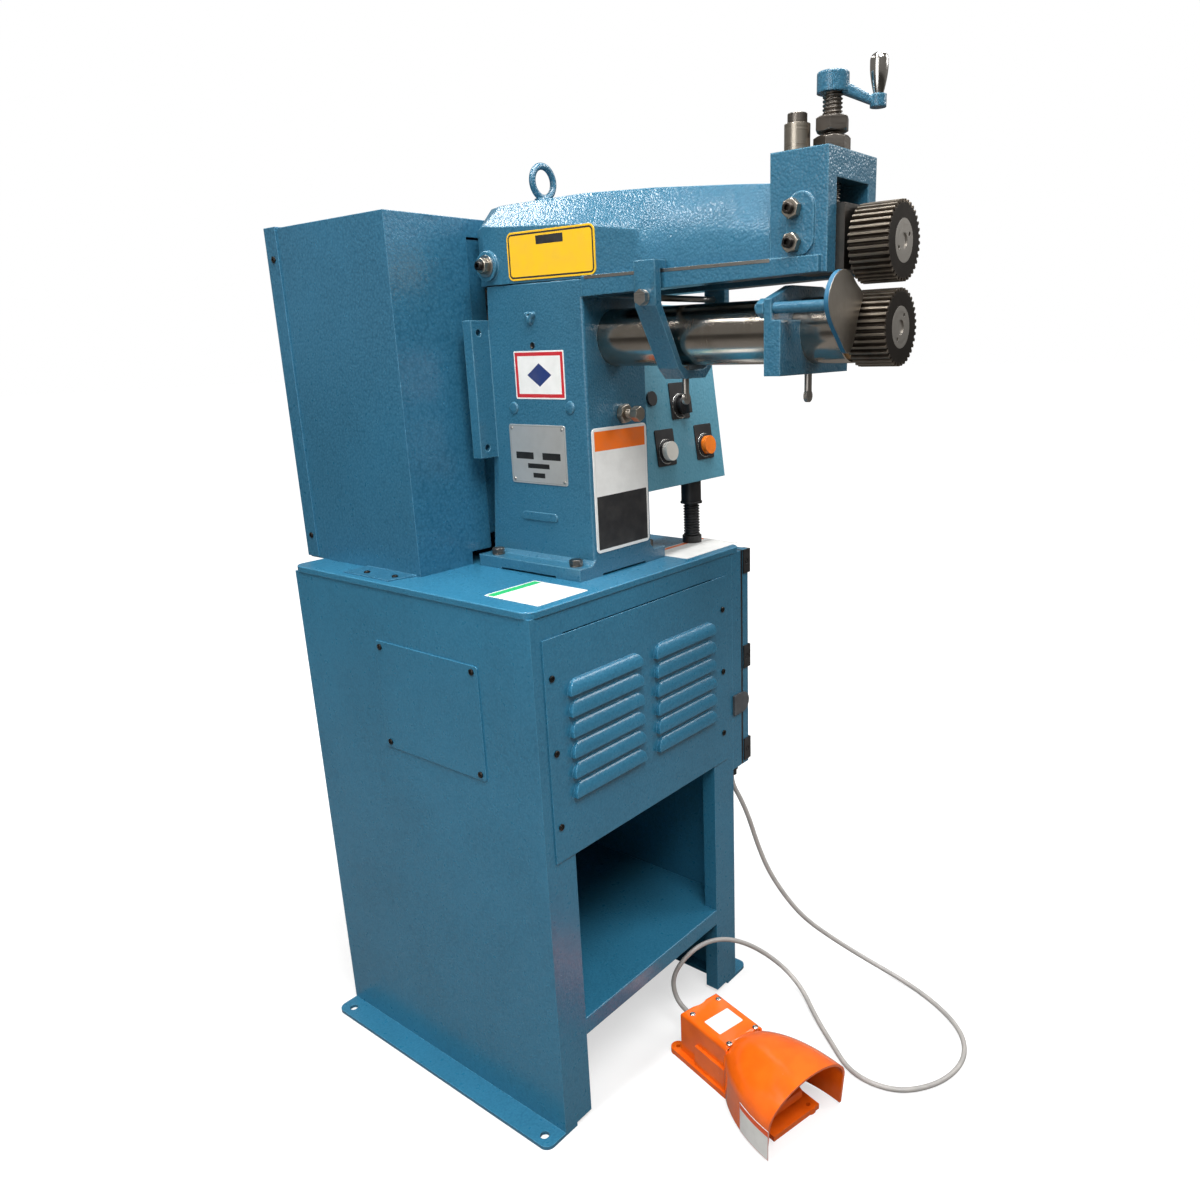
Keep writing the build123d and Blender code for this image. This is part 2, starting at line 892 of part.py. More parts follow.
with BuildPart() as access_cover:
    cover_y, cover_z = side_cover_middle
    with BuildSketch(side_plane(-half_width)):
        with Locations((cover_y, cover_z)):
            RectangleRounded(side_cover_width, side_cover_height, screw_head_radius)
    extrude(amount=-panel_sheet)
    for y, z in cover_screw_places:
        screw_hole((-half_width - panel_sheet, y, z), leftward, panel_sheet)
write("access_cover", access_cover)

# Frame: base, column, arm and head in one casting
def arm_section(half, low, shoulder, crest_half, crest):
    """Corner points of the arm's section, as offsets from the arm's middle plane."""
    return [
        (arm_middle - half, low),
        (arm_middle - half, shoulder),
        (arm_middle - crest_half, crest),
        (arm_middle + crest_half, crest),
        (arm_middle + half, shoulder),
        (arm_middle + half, low),
    ]


def arm_face(station):
    """The arm's section at one station, as a face."""
    y, half, shoulder, crest_half, crest = station
    with BuildSketch(front_plane(y)) as section:
        with BuildLine():
            Polyline(*arm_section(half, ledge_height - overrun, shoulder, crest_half, crest), close=True)
        make_face()
    return section.sketch


with BuildPart() as frame_casting:
    # Base plate on four feet
    base_back = column_back[0][0]
    base_low = cabinet_height + base_foot_height
    block(
        (arm_middle - base_half_width, column_front, base_low),
        (arm_middle + base_half_width, base_back, base_top),
    )
    # Column with its sloping back
    back_line = [(y, z) for y, z in column_back]
    prism(
        side_plane(arm_middle),
        [(column_front, base_low), *back_line, (column_front, back_line[-1][1])],
        column_half_width,
        both=True,
    )
    # Flare where the column meets the base
    for side in (-1, 1):
        root = arm_middle + side * column_half_width
        near, far = root - side * overrun, root + side * base_fillet
        flare_line = [
            (near, base_top - overrun),
            (far, base_top - overrun),
            (far, base_top),
            (root, base_top + base_fillet),
            (near, base_top + base_fillet),
        ]
        prism(front_plane(column_front), flare_line, column_front - base_back)
    for x in (arm_middle - base_half_width, arm_middle + base_half_width - base_foot_length):
        for y in (column_front, base_back - base_foot_length):
            block((x, y, cabinet_height), (x + base_foot_length, y + base_foot_length, base_low))
    # Arm above the ledge, through its stations
    for first, second in zip(arm_stations, arm_stations[1:]):
        faces = [arm_face(station) for station in (first, second)]
        loft(faces, ruled=True)
    # Flange below the ledge
    flange_line = [
        (column_front, arm_flange_bottom),
        (flange_front, arm_flange_bottom_front),
        (flange_front, ledge_height),
        (column_front, ledge_height),
    ]
    prism(side_plane(arm_middle), flange_line, arm_flange_half_width, both=True)
    # Head with its side pads
    head_low = (arm_middle - head_half_width, head_front, head_bottom)
    block(head_low, (arm_middle + head_half_width, head_back, head_top))
    for side in (-1, 1):
        face = arm_middle + side * head_half_width
        with BuildSketch(side_plane(face)) as pad:
            with Locations(((pad_front + pad_back) / 2, (pad_low + pad_high) / 2)):
                SlotOverall(pad_high - pad_low, pad_back - pad_front, rotation=90)
        extrude(pad.sketch, amount=side * pad_height)
    # Bosses of the rear bearing's pivot screws
    for side in (-1, 1):
        rod((arm_middle, trunnion_y, trunnion_z), (side, 0, 0), pivot_boss_radius, pivot_boss_reach)
    # Ears that carry the guard
    for side in (-1, 1):
        near = arm_middle + side * (column_half_width - overrun)
        far = arm_middle + side * ear_half_width
        block(
            (min(near, far), ear_front, ear_low),
            (max(near, far), ear_front + ear_thickness, ear_high),
        )
        for height in ear_hole_heights:
            hole_x = far - side * ear_hole_inset
            drill((hole_x, ear_front, height), rearward, ear_hole_radius, ear_thickness)
    # Window of the head, open to the arm's cavity and below
    block(
        (arm_middle - window_half_width, head_front - overrun, head_bottom - overrun),
        (arm_middle + window_half_width, head_back + overrun, window_top),
        Mode.SUBTRACT,
    )
    # Cavity of the arm, open below in front of the column
    block(
        (arm_middle - arm_cavity_half_width, head_back, arm_flange_bottom - overrun),
        (arm_middle + arm_cavity_half_width, column_front - cast_wall, arm_cavity_top - cast_wall),
        Mode.SUBTRACT,
    )
    block(
        (arm_middle - arm_cavity_half_width, column_front - cast_wall, arm_cavity_floor),
        (
            arm_middle + arm_cavity_half_width,
            trunnion_y + rear_bearing_half_length + cast_wall / 2,
            arm_cavity_top,
        ),
        Mode.SUBTRACT,
    )
    # Cavity of the column, open below through the base
    cavity_half = column_half_width - cast_wall
    cavity_front = column_front + cast_wall
    cavity_line = [(cavity_front, base_low - overrun)]
    cavity_line += [(y - cast_wall, z) for y, z in column_back[:3]]
    cavity_line += [(cavity_front, column_back[2][1])]
    cavity_line[1] = (column_back[0][0] - cast_wall, base_low - overrun)
    prism(side_plane(arm_middle), cavity_line, cavity_half, Mode.SUBTRACT, both=True)
    # Sockets of the lower tube and of the rear bush
    tube_socket = tube_socket_back - column_front + cast_wall
    rod((arm_middle, column_front, lower_axis), rearward, tube_radius + cast_wall, tube_socket)
    rod(
        (arm_middle, column_front - overrun, lower_axis),
        rearward,
        tube_radius + fit_gap,
        tube_socket_back - column_front + overrun,
        Mode.SUBTRACT,
    )
    rod(
        (arm_middle, rear_bush_front, lower_axis),
        rearward,
        rear_bush_radius + cast_wall,
        column_back[2][0] - rear_bush_front,
    )
    drill((arm_middle, tube_socket_back, lower_axis), rearward, rear_bush_radius + fit_gap, cast_wall)
    rod(
        (arm_middle, rear_bush_front - overrun, lower_axis),
        rearward,
        rear_bush_radius + fit_gap,
        rear_bush_back - rear_bush_front + overrun,
        Mode.SUBTRACT,
    )
    # Way out of the upper shaft at the back
    rod(
        (arm_middle, trunnion_y, upper_axis),
        rearward,
        upper_shaft_radius + upper_shaft_play,
        arm_stations[0][0] - trunnion_y + overrun,
        Mode.SUBTRACT,
    )
    # Holes for the pivot screws, the side screws, the crank screw and the lift bolt
    rod(
        (arm_middle - pivot_boss_reach - overrun, trunnion_y, trunnion_z),
        rightward,
        adjuster_radius + fit_gap,
        2 * (pivot_boss_reach + overrun),
        Mode.SUBTRACT,
    )
    for height in side_screw_heights:
        through = 2 * (head_half_width + pad_height + overrun)
        rod(
            (arm_middle - through / 2, side_screw_y, height),
            rightward,
            adjuster_radius + fit_gap,
            through,
            Mode.SUBTRACT,
        )
    drill((arm_middle, screw_y, window_top), up, screw_radius + running_gap, head_top - window_top)
    drill((*spring_can, window_top), up, lift_bolt_radius + seat_gap, head_top - window_top)
    rod((arm_middle, eye_bolt_y, eye_bolt_foot), up, eye_shank_radius + fit_gap, head_top, Mode.SUBTRACT)
    # Base bolts and the column's front screw
    for x in (arm_middle - base_bolt_half_spacing, arm_middle + base_bolt_half_spacing):
        for y in (base_bolt_front, base_bolt_rear):
            drill((x, y, cabinet_height), up, base_bolt_radius + fit_gap, base_top - cabinet_height)
    front_hole = (front_screw[0], column_front - overrun, front_screw[1])
    rod(front_hole, rearward, adjuster_radius + fit_gap, cast_wall + 2 * overrun, Mode.SUBTRACT)
    # Softened edges of the column, the base and the head
    upright = frame_casting.edges().filter_by(Axis.Z).filter_by_position(
        Axis.Y,
        column_front - overrun,
        column_front + overrun,
    )
    fillet(upright.filter_by_position(Axis.Z, base_top, arm_flange_bottom), cast_edge)
write("frame_casting", frame_casting)

# Fasteners of the casting: base bolts, side screws with their nuts, pivot screws, front screw, guide nut
def adjuster(face, direction, nut_flats, length):
    """A headless screw with a hexagon socket and a lock nut on a face, pointing out along a direction."""
    out = Vector(direction)
    tip = Vector(face) - out * length
    rod(tip, direction, adjuster_radius, length + adjuster_nut_height + adjuster_reach)
    hexagon(Vector(face), direction, nut_flats, adjuster_nut_height)
    end = Vector(face) + out * (adjuster_nut_height + adjuster_reach)
    rod(end, -out, adjuster_socket_radius, adjuster_socket_depth, Mode.SUBTRACT)


with BuildPart() as frame_fasteners:
    for x in (arm_middle - base_bolt_half_spacing, arm_middle + base_bolt_half_spacing):
        for y in (base_bolt_front, base_bolt_rear):
            rod((x, y, base_top), up, washer_radius, washer_thickness)
            hexagon((x, y, base_top + washer_thickness), up, base_nut_flats, base_nut_height)
            rod(
                (x, y, shell_top - base_nut_height),
                up,
                base_bolt_radius,
                base_top + washer_thickness - shell_top + base_nut_height,
            )
            hexagon((x, y, shell_top - base_nut_height), up, base_nut_flats, base_nut_height)
    for side in (-1, 1):
        out = (side, 0, 0)
        pad_face = arm_middle + side * (head_half_width + pad_height)
        for height in side_screw_heights:
            reach = head_half_width + pad_height - window_half_width
            adjuster((pad_face, side_screw_y, height), out, adjuster_nut_flats, reach)
        boss_face = arm_middle + side * pivot_boss_reach
        rod((boss_face, trunnion_y, trunnion_z), out, pivot_washer_radius, washer_thickness)
        pivot_face = boss_face + side * washer_thickness
        pivot_tip = pivot_boss_reach + washer_thickness - rear_bearing_half_width + pivot_depth
        adjuster((pivot_face, trunnion_y, trunnion_z), out, adjuster_nut_flats, pivot_tip)
    front_x, front_z = front_screw
    rod(
        (front_x, column_front + cast_wall, front_z),
        frontward,
        adjuster_radius,
        cast_wall + front_nut_height + front_screw_gap,
    )
    hexagon((front_x, column_front, front_z), frontward, front_nut_flats, front_nut_height)
    head_start = column_front - front_nut_height - front_screw_gap
    hexagon((front_x, head_start, front_z), frontward, front_head_flats, front_head_height)
    hexagon((arm_middle, screw_y, head_top), up, guide_nut_flats, guide_nut_height)
    drill((arm_middle, screw_y, head_top), up, screw_radius + running_gap, guide_nut_height)
write("frame_fasteners", frame_fasteners)

with BuildPart() as eye_bolt:
    ring_plane = Plane(
        origin=(arm_middle, eye_bolt_y, eye_ring_height),
        x_dir=(1, 0, 0),
        z_dir=(0, -1, 0),
    )
    with Locations(ring_plane):
        Torus(eye_ring_radius, eye_wire_radius)
    crest = arm_stations[3][4]
    rod(
        (arm_middle, eye_bolt_y, eye_bolt_foot),
        up,
        eye_shank_radius - fit_gap,
        eye_ring_height - eye_ring_radius - eye_bolt_foot,
    )
    rod((arm_middle, eye_bolt_y, crest), up, eye_collar_radius, eye_collar_height)
write("eye_bolt", eye_bolt)

# Bare plates: one on the arm's side, one riveted to the column's side, one on the column's front
def plate(plane, low, high):
    """A thin plate with rounded corners between two corners of a plane."""
    (u0, v0), (u1, v1) = low, high
    with BuildSketch(plane) as outline:
        with Locations(((u0 + u1) / 2, (v0 + v1) / 2)):
            RectangleRounded(u1 - u0, v1 - v0, plate_corner)
    return outline.sketch


with BuildPart() as name_plates:
    station_low, station_high = arm_stations[3], arm_stations[5]
    run = station_high[0] - station_low[0]
    rise = station_low[1] - station_high[1]
    arm_side = Plane(
        origin=(arm_middle - station_low[1], station_low[0], 0),
        x_dir=(rise, run, 0),
        z_dir=(run, -rise, 0),
    )
    arm_low = (station_low[0] - arm_plate_high[0], arm_plate_low[1])
    arm_high = (station_low[0] - arm_plate_low[0], arm_plate_high[1])
    extrude(plate(arm_side, arm_low, arm_high), amount=plate_thickness)
    column_side = Plane(
        origin=(arm_middle - column_half_width, 0, 0),
        x_dir=(0, -1, 0),
        z_dir=(-1, 0, 0),
    )
    (y0, z0), (y1, z1) = rating_plate_low, rating_plate_high
    extrude(plate(column_side, (-y1, z0), (-y0, z1)), amount=plate_thickness)
    for y in (y0 + rivet_inset, y1 - rivet_inset):
        for z in (z0 + rivet_inset, z1 - rivet_inset):
            rod((arm_middle - column_half_width, y, z), leftward, rivet_radius, plate_thickness * 2)
    extrude(plate(front_plane(column_front), front_plate_low, front_plate_high), amount=plate_thickness)
write("name_plates", name_plates)

# Lower arm tube with its bushes
with BuildPart() as lower_arm_tube:
    tube_length = tube_socket_back - tube_front
    rod((arm_middle, tube_front, lower_axis), rearward, tube_radius, tube_length)
    drill((arm_middle, tube_front, lower_axis), rearward, tube_bore_radius, tube_length)
    chamfer(lower_arm_tube.faces().sort_by(Axis.Y)[0].outer_wire().edges(), machined_edge)
write("lower_arm_tube", lower_arm_tube)

with BuildPart() as shaft_bushes:
    rod((arm_middle, tube_front, lower_axis), rearward, tube_bore_radius - fit_gap, bush_length)
    rod((arm_middle, tube_front - bush_flange, lower_axis), rearward, bush_flange_radius, bush_flange)
    rod(
        (arm_middle, rear_bush_front, lower_axis),
        rearward,
        rear_bush_radius,
        rear_bush_back - rear_bush_front,
    )
    rod(
        (arm_middle, roll_back, lower_axis),
        rearward,
        lower_shaft_radius + running_gap,
        rear_bush_back - roll_back + overrun,
        Mode.SUBTRACT,
    )
write("shaft_bushes", shaft_bushes)


# Toothed wheels: rolls and gears
def wheel_outline(plane, teeth, stations, turn):
    """A toothed outline on a plane: each tooth passes the stations of radius and share of the pitch."""
    pitch = 360 / teeth
    points = []
    for tooth in range(teeth):
        middle = turn + tooth * pitch
        sides = [(radius, -share / 2) for radius, share in stations]
        sides += [(radius, share / 2) for radius, share in reversed(stations)]
        points += [(radius, radians(middle + share * pitch)) for radius, share in sides]
    with BuildSketch(plane) as outline:
        with BuildLine():
            Polyline(*[(r * cos(a), r * sin(a)) for r, a in points], close=True)
        make_face()
    return outline.sketch


def cross_plane(y, axis_height):
    """A plane across a shaft, facing the operator."""
    return Plane(origin=(arm_middle, y, axis_height), x_dir=(1, 0, 0), z_dir=(0, -1, 0))


def roll(axis_height, bore):
    """A crimping roll with a recess for its retainer."""
    tooth = [(roll_root_radius, roll_root_share), (roll_radius, roll_tip_share)]
    extrude(
        wheel_outline(cross_plane(roll_back, axis_height), roll_teeth, tooth, top_turn),
        amount=roll_back - roll_front,
    )
    start = (arm_middle, roll_back + overrun, axis_height)
    rod(start, frontward, bore + fit_gap / 2, roll_back - roll_front + 2 * overrun, Mode.SUBTRACT)
    rod(
        (arm_middle, roll_front - overrun, axis_height),
        rearward,
        retainer_radius + fit_gap,
        retainer_thickness + overrun,
        Mode.SUBTRACT,
    )


def retainer(axis_height, turn):
    """The round plate that holds a roll, with two spanner holes and a hollow in the middle."""
    rod((arm_middle, roll_front, axis_height), rearward, retainer_radius, retainer_thickness - fit_gap)
    rod(
        (arm_middle, roll_front - overrun, axis_height),
        rearward,
        retainer_recess_radius,
        retainer_recess_depth + overrun,
        Mode.SUBTRACT,
    )
    for angle in (turn, turn + 180):
        x = arm_middle + spanner_hole_circle * cos(radians(angle))
        z = axis_height + spanner_hole_circle * sin(radians(angle))
        rod(
            (x, roll_front - overrun, z),
            rearward,
            spanner_hole_radius,
            retainer_thickness / 2 + overrun,
            Mode.SUBTRACT,
        )


def gear(axis_height, turn, bore):
    """A spur gear keyed to its shaft behind the column."""
    tooth = [
        (gear_pitch_radius - gear_root_dedendum, gear_root_share),
        (gear_pitch_radius, gear_pitch_share),
        (gear_pitch_radius + gear_tip_addendum, gear_tip_share),
    ]
    plane = cross_plane(gear_front + gear_width, axis_height)
    extrude(wheel_outline(plane, gear_teeth, tooth, turn), amount=gear_width)
    start = (arm_middle, gear_front - overrun, axis_height)
    rod(start, rearward, bore + fit_gap / 2, gear_width + 2 * overrun, Mode.SUBTRACT)


with BuildPart() as lower_shaft:
    shaft_start = roll_front + retainer_thickness
    rod(
        (arm_middle, shaft_start, lower_axis),
        rearward,
        lower_shaft_radius,
        shaft_back_lower - shaft_start,
    )
    chamfer(lower_shaft.faces().sort_by(Axis.Y)[-1].edges(), machined_edge)
write("lower_shaft", lower_shaft)

with BuildPart() as lower_roll:
    roll(lower_axis, lower_shaft_radius)
write("lower_roll", lower_roll)

with BuildPart() as lower_roll_retainer:
    retainer(lower_axis, lower_retainer_turn)
write("lower_roll_retainer", lower_roll_retainer)

with BuildPart() as lower_gear:
    gear(lower_axis, top_turn, lower_shaft_radius)
write("lower_gear", lower_gear)

with BuildPart() as upper_shaft:
    rod(
        (arm_middle, shaft_start, upper_axis),
        rearward,
        upper_shaft_radius,
        shaft_back_upper - shaft_start,
    )
    chamfer(upper_shaft.faces().sort_by(Axis.Y)[-1].edges(), machined_edge)
write("upper_shaft", upper_shaft)

with BuildPart() as upper_roll:
    roll(upper_axis, upper_shaft_radius)
write("upper_roll", upper_roll)

with BuildPart() as upper_roll_retainer:
    retainer(upper_axis, upper_retainer_turn)
write("upper_roll_retainer", upper_roll_retainer)

with BuildPart() as upper_gear:
    gear(upper_axis, top_turn + 180 / gear_teeth, upper_shaft_radius)
write("upper_gear", upper_gear)

with BuildPart() as bearing_block:
    block_half = window_half_width - block_gap
    block(
        (arm_middle - block_half, block_front, block_bottom),
        (arm_middle + block_half, block_back, block_top),
    )
    drill(
        (arm_middle, block_front, upper_axis),
        rearward,
        upper_shaft_radius + running_gap,
        block_back - block_front,
    )
    rod(
        (*spring_can, block_top - lift_bolt_depth),
        up,
        lift_bolt_radius + 2 * seat_gap,
        lift_bolt_depth + overrun,
        Mode.SUBTRACT,
    )
    chamfer(bearing_block.edges().filter_by(Axis.X).group_by(Axis.Y)[0], machined_edge)
write("bearing_block", bearing_block)

with BuildPart() as rear_bearing:
    low = (arm_middle - rear_bearing_half_width, trunnion_y - rear_bearing_half_length, rear_bearing_low)
    high = (
        arm_middle + rear_bearing_half_width,
        trunnion_y + rear_bearing_half_length,
        rear_bearing_high,
    )
    block(low, high)
    rod(
        (arm_middle, low[1] - overrun, upper_axis),
        rearward,
        upper_shaft_radius + running_gap,
        2 * (rear_bearing_half_length + overrun),
        Mode.SUBTRACT,
    )
    for side in (-1, 1):
        face = (arm_middle + side * (rear_bearing_half_width + overrun), trunnion_y, trunnion_z)
        rod(
            face,
            (-side, 0, 0),
            adjuster_radius + running_gap,
            pivot_depth + seat_gap + overrun,
            Mode.SUBTRACT,
        )
write("rear_bearing", rear_bearing)

# Crank, its screw and the spring that lifts the bearing block
with BuildPart() as screw_shoe:
    rod(
        (arm_middle, screw_y, block_top + seat_gap),
        up,
        shoe_radius,
        screw_bottom - block_top - 2 * seat_gap,
    )
write("screw_shoe", screw_shoe)

with BuildPart() as crank_screw:
    rod((arm_middle, screw_y, screw_bottom), up, screw_radius, screw_top - screw_bottom)
    chamfer(crank_screw.faces().sort_by(Axis.Z)[0].edges(), machined_edge)
write("crank_screw", crank_screw)

with BuildPart() as stop_nut:
    hexagon((arm_middle, screw_y, stop_nut_bottom), up, stop_nut_flats, stop_nut_height)
    drill((arm_middle, screw_y, stop_nut_bottom), up, screw_radius + fit_gap, stop_nut_height)
write("stop_nut", stop_nut)

with BuildPart() as crank_arm:
    end_x, end_y = crank_end
    run_x, run_y = end_x - arm_middle, end_y - screw_y
    crank_length = hypot(run_x, run_y)
    hub_middle = (hub_low + hub_high) / 2
    end_middle = crank_end_low + crank_tip_height / 2
    along = (run_x / crank_length, run_y / crank_length, 0)
    across = (-along[1], along[0], 0)
    with BuildSketch(Plane(origin=(arm_middle, screw_y, hub_middle), x_dir=across, z_dir=along)) as near:
        RectangleRounded(crank_arm_width, crank_arm_height, crank_arm_height / 4)
    with BuildSketch(Plane(origin=(end_x, end_y, end_middle), x_dir=across, z_dir=along)) as far:
        RectangleRounded(crank_tip_width, crank_tip_height, crank_tip_height / 4)
    loft([near.sketch, far.sketch])
    rod((arm_middle, screw_y, hub_low), up, hub_radius, hub_high - hub_low)
    fillet(crank_arm.faces().sort_by(Axis.Z)[-1].edges(), hub_dome)
    rod((end_x, end_y, crank_end_low), up, crank_end_radius, crank_end_high - crank_end_low)
    rod(
        (arm_middle, screw_y, hub_low - overrun),
        up,
        screw_radius + fit_gap,
        screw_top + fit_gap - hub_low + overrun,
        Mode.SUBTRACT,
    )
    rod((end_x, end_y, crank_end_high - overrun), up, handle_pin_radius, handle_pin_length + overrun)
write("crank_arm", crank_arm)

with BuildPart() as crank_handle:
    with BuildSketch(Plane(origin=(*crank_end, 0), x_dir=(1, 0, 0), z_dir=(0, -1, 0))) as profile:
        with BuildLine():
            swell = handle_low + (handle_widest - handle_low) * handle_swell_share
            Bezier(
                (handle_neck_radius, handle_low),
                (handle_top_radius, swell),
                (handle_top_radius, handle_widest),
            )
            bore = handle_pin_radius + running_gap
            bore_top = handle_low + handle_pin_length
            Polyline(
                (handle_top_radius, handle_widest),
                (handle_top_radius, handle_high),
                (0, handle_high),
                (0, bore_top),
                (bore, bore_top),
                (bore, handle_low),
                (handle_neck_radius, handle_low),
            )
        make_face()
    revolve(profile.sketch, axis=Axis((*crank_end, 0), (0, 0, 1)))
    fillet(crank_handle.faces().sort_by(Axis.Z)[-1].edges(), handle_crown)
write("crank_handle", crank_handle)

can_x, can_y = spring_can
can_top = head_top + spring_can_height
bolt_top = can_top + lift_bolt_head_height
with BuildPart() as spring_housing:
    rod((can_x, can_y, head_top), up, spring_can_radius, spring_can_height - button_travel)
    rod(
        (can_x, can_y, head_top + spring_can_wall),
        up,
        spring_can_radius - spring_can_wall,
        spring_can_height,
        Mode.SUBTRACT,
    )
    rod(
        (can_x, can_y, head_top - overrun),
        up,
        lift_bolt_radius + seat_gap,
        spring_can_height,
        Mode.SUBTRACT,
    )
write("spring_housing", spring_housing)

with BuildPart() as lift_bolt:
    rod(
        (can_x, can_y, block_top - lift_bolt_depth + seat_gap),
        up,
        lift_bolt_radius,
        can_top - block_top + lift_bolt_depth,
    )
    rod(
        (can_x, can_y, can_top - lift_bolt_skirt),
        up,
        lift_bolt_head_radius,
        lift_bolt_head_height + lift_bolt_skirt,
    )
    fillet(lift_bolt.faces().sort_by(Axis.Z)[-1].edges(), machined_edge)
    block(
        (can_x - spring_can_radius, can_y - lift_bolt_slot / 2, bolt_top - lift_bolt_slot),
        (can_x + spring_can_radius, can_y + lift_bolt_slot / 2, bolt_top + overrun),
        Mode.SUBTRACT,
    )
write("lift_bolt", lift_bolt)

with BuildPart() as lift_spring:
    spring_foot = head_top + spring_can_wall + fit_gap
    spring_length = can_top - lift_bolt_skirt - fit_gap - spring_foot
    rod((can_x, can_y, spring_foot), up, lift_spring_outer, spring_length)
    drill((can_x, can_y, spring_foot), up, lift_spring_inner, spring_length)
write("lift_spring", lift_spring)

# Brace strap: a bent bar that hangs on the arm's ledges and passes under the tube
strap_line = [
    (strap_lip_inner, ledge_height + seat_gap),
    (strap_lip_inner, strap_lip_top),
    (strap_outer, strap_lip_top),
    (strap_outer, strap_bend),
    (strap_low_half, strap_low_bend),
    (strap_foot_half, strap_bottom),
]
with BuildPart() as brace_strap:
    with BuildSketch(front_plane(strap_back)) as strap_outline:
        with BuildLine():
            right = [(arm_middle + x, z) for x, z in strap_line]
            left = [(arm_middle - x, z) for x, z in reversed(strap_line)]
            Polyline(*right, *left, close=True)
        make_face()
    with BuildSketch(front_plane(strap_back)) as strap_hollow:
        inner = strap_outer - strap_thickness
        inset = strap_thickness * strap_inset_share
        hollow_line = [
            (strap_lip_inner, ledge_height + seat_gap),
            (inner, ledge_height + seat_gap),
            (inner, strap_bend + inset / 3),
            (strap_low_half - inset, strap_low_bend + inset / 3),
            (strap_foot_half - inset / 2, strap_bottom + strap_thickness),
        ]
        with BuildLine():
            right = [(arm_middle + x, z) for x, z in hollow_line]
            left = [(arm_middle - x, z) for x, z in reversed(hollow_line)]
            Polyline(
                (arm_middle + strap_lip_inner, strap_lip_top + overrun),
                *right,
                *left,
                (arm_middle - strap_lip_inner, strap_lip_top + overrun),
                close=True,
            )
        make_face()
    extrude(strap_outline.sketch, amount=strap_width)
    extrude(strap_hollow.sketch, amount=strap_width, mode=Mode.SUBTRACT)
    fillet(
        brace_strap.edges().filter_by(Axis.Y).filter_by_position(
            Axis.Z,
            strap_bottom - overrun,
            strap_low_bend + overrun,
        ),
        strap_thickness / 4,
    )
    bolt_length = 2 * (strap_outer + overrun)
    rod(
        (arm_middle - bolt_length / 2, strap_bolt_y, strap_bolt_height),
        rightward,
        strap_bolt_radius + fit_gap,
        bolt_length,
        Mode.SUBTRACT,
    )
    strap_middle = strap_back - strap_width / 2
    drill((arm_middle, strap_middle, strap_bottom), up, thumb_radius + running_gap, strap_thickness)
write("brace_strap", brace_strap)

with BuildPart() as strap_bolt:
    bolt_start = arm_middle - strap_outer - washer_thickness
    rod(
        (bolt_start, strap_bolt_y, strap_bolt_height),
        rightward,
        strap_bolt_radius,
        2 * strap_outer + washer_thickness + strap_bolt_end,
    )
    rod((bolt_start, strap_bolt_y, strap_bolt_height), rightward, washer_radius, washer_thickness)
    hexagon((bolt_start, strap_bolt_y, strap_bolt_height), leftward, strap_bolt_flats, strap_bolt_head)
write("strap_bolt", strap_bolt)


def thumb_screw(y, tip, length):
    """A thumb screw below the tube with a flat round tab at its lower end."""
    foot = tip - length
    rod((arm_middle, y, foot), up, thumb_radius, length)
    rod((arm_middle, y - thumb_tab_thickness / 2, foot), rearward, thumb_tab_radius, thumb_tab_thickness)


with BuildPart() as strap_screw:
    tube_bottom = lower_axis - tube_radius
    thumb_screw(strap_middle, tube_bottom - seat_gap, tube_bottom - strap_bottom + thumb_shank)
write("strap_screw", strap_screw)

# Gauge: a bracket clamped on the lower tube, its rod and its plate beside the rolls
with BuildPart() as gauge_bracket:
    half = bracket_half_width
    outline = [
        (arm_middle - half, bracket_bottom),
        (arm_middle + half, bracket_bottom),
        (arm_middle + half, bracket_shoulder),
        (arm_middle + bracket_top_half, bracket_top),
        (arm_middle - bracket_top_half, bracket_top),
        (arm_middle - half, bracket_shoulder),
    ]
    prism(front_plane(bracket_back), outline, bracket_plate)
    block(
        (arm_middle - half, bracket_back - bracket_thickness, bracket_bottom),
        (arm_middle + half, bracket_back - bracket_plate, bracket_step),
    )
    drill(
        (arm_middle, bracket_back, lower_axis),
        frontward,
        tube_radius + running_gap,
        bracket_thickness,
    )
    drill(
        (gauge_rod_x, bracket_back, gauge_rod_z),
        frontward,
        gauge_rod_radius + fit_gap,
        bracket_thickness,
    )
    drill(
        (arm_middle, gauge_screw_y, bracket_bottom),
        up,
        thumb_radius + running_gap,
        lower_axis - tube_radius - bracket_bottom,
    )
write("gauge_bracket", gauge_bracket)

with BuildPart() as gauge_screw:
    thumb_screw(gauge_screw_y, tube_bottom - seat_gap, tube_bottom - bracket_bottom + thumb_shank)
write("gauge_screw", gauge_screw)

with BuildPart() as gauge_rod:
    rod_end = (gauge_rod_x, bracket_back + gauge_nut_height + gauge_rod_reach, gauge_rod_z)
    rod(rod_end, frontward, gauge_rod_radius, rod_end[1] - gauge_rod_front)
    hexagon((gauge_rod_x, bracket_back, gauge_rod_z), rearward, gauge_nut_flats, gauge_nut_height)
write("gauge_rod", gauge_rod)

with BuildPart() as gauge_plate:
    with BuildSketch(front_plane(gauge_rod_front)) as oval:
        with BuildLine():
            Spline(*[(gauge_rod_x + u, gauge_rod_z + v) for u, v in gauge_outline], periodic=True)
        make_face()
    extrude(oval.sketch, amount=gauge_plate_thickness)
    drill(
        (arm_middle, gauge_rod_front, lower_axis),
        frontward,
        roll_radius + gauge_clearance,
        gauge_plate_thickness,
    )
write("gauge_plate", gauge_plate)

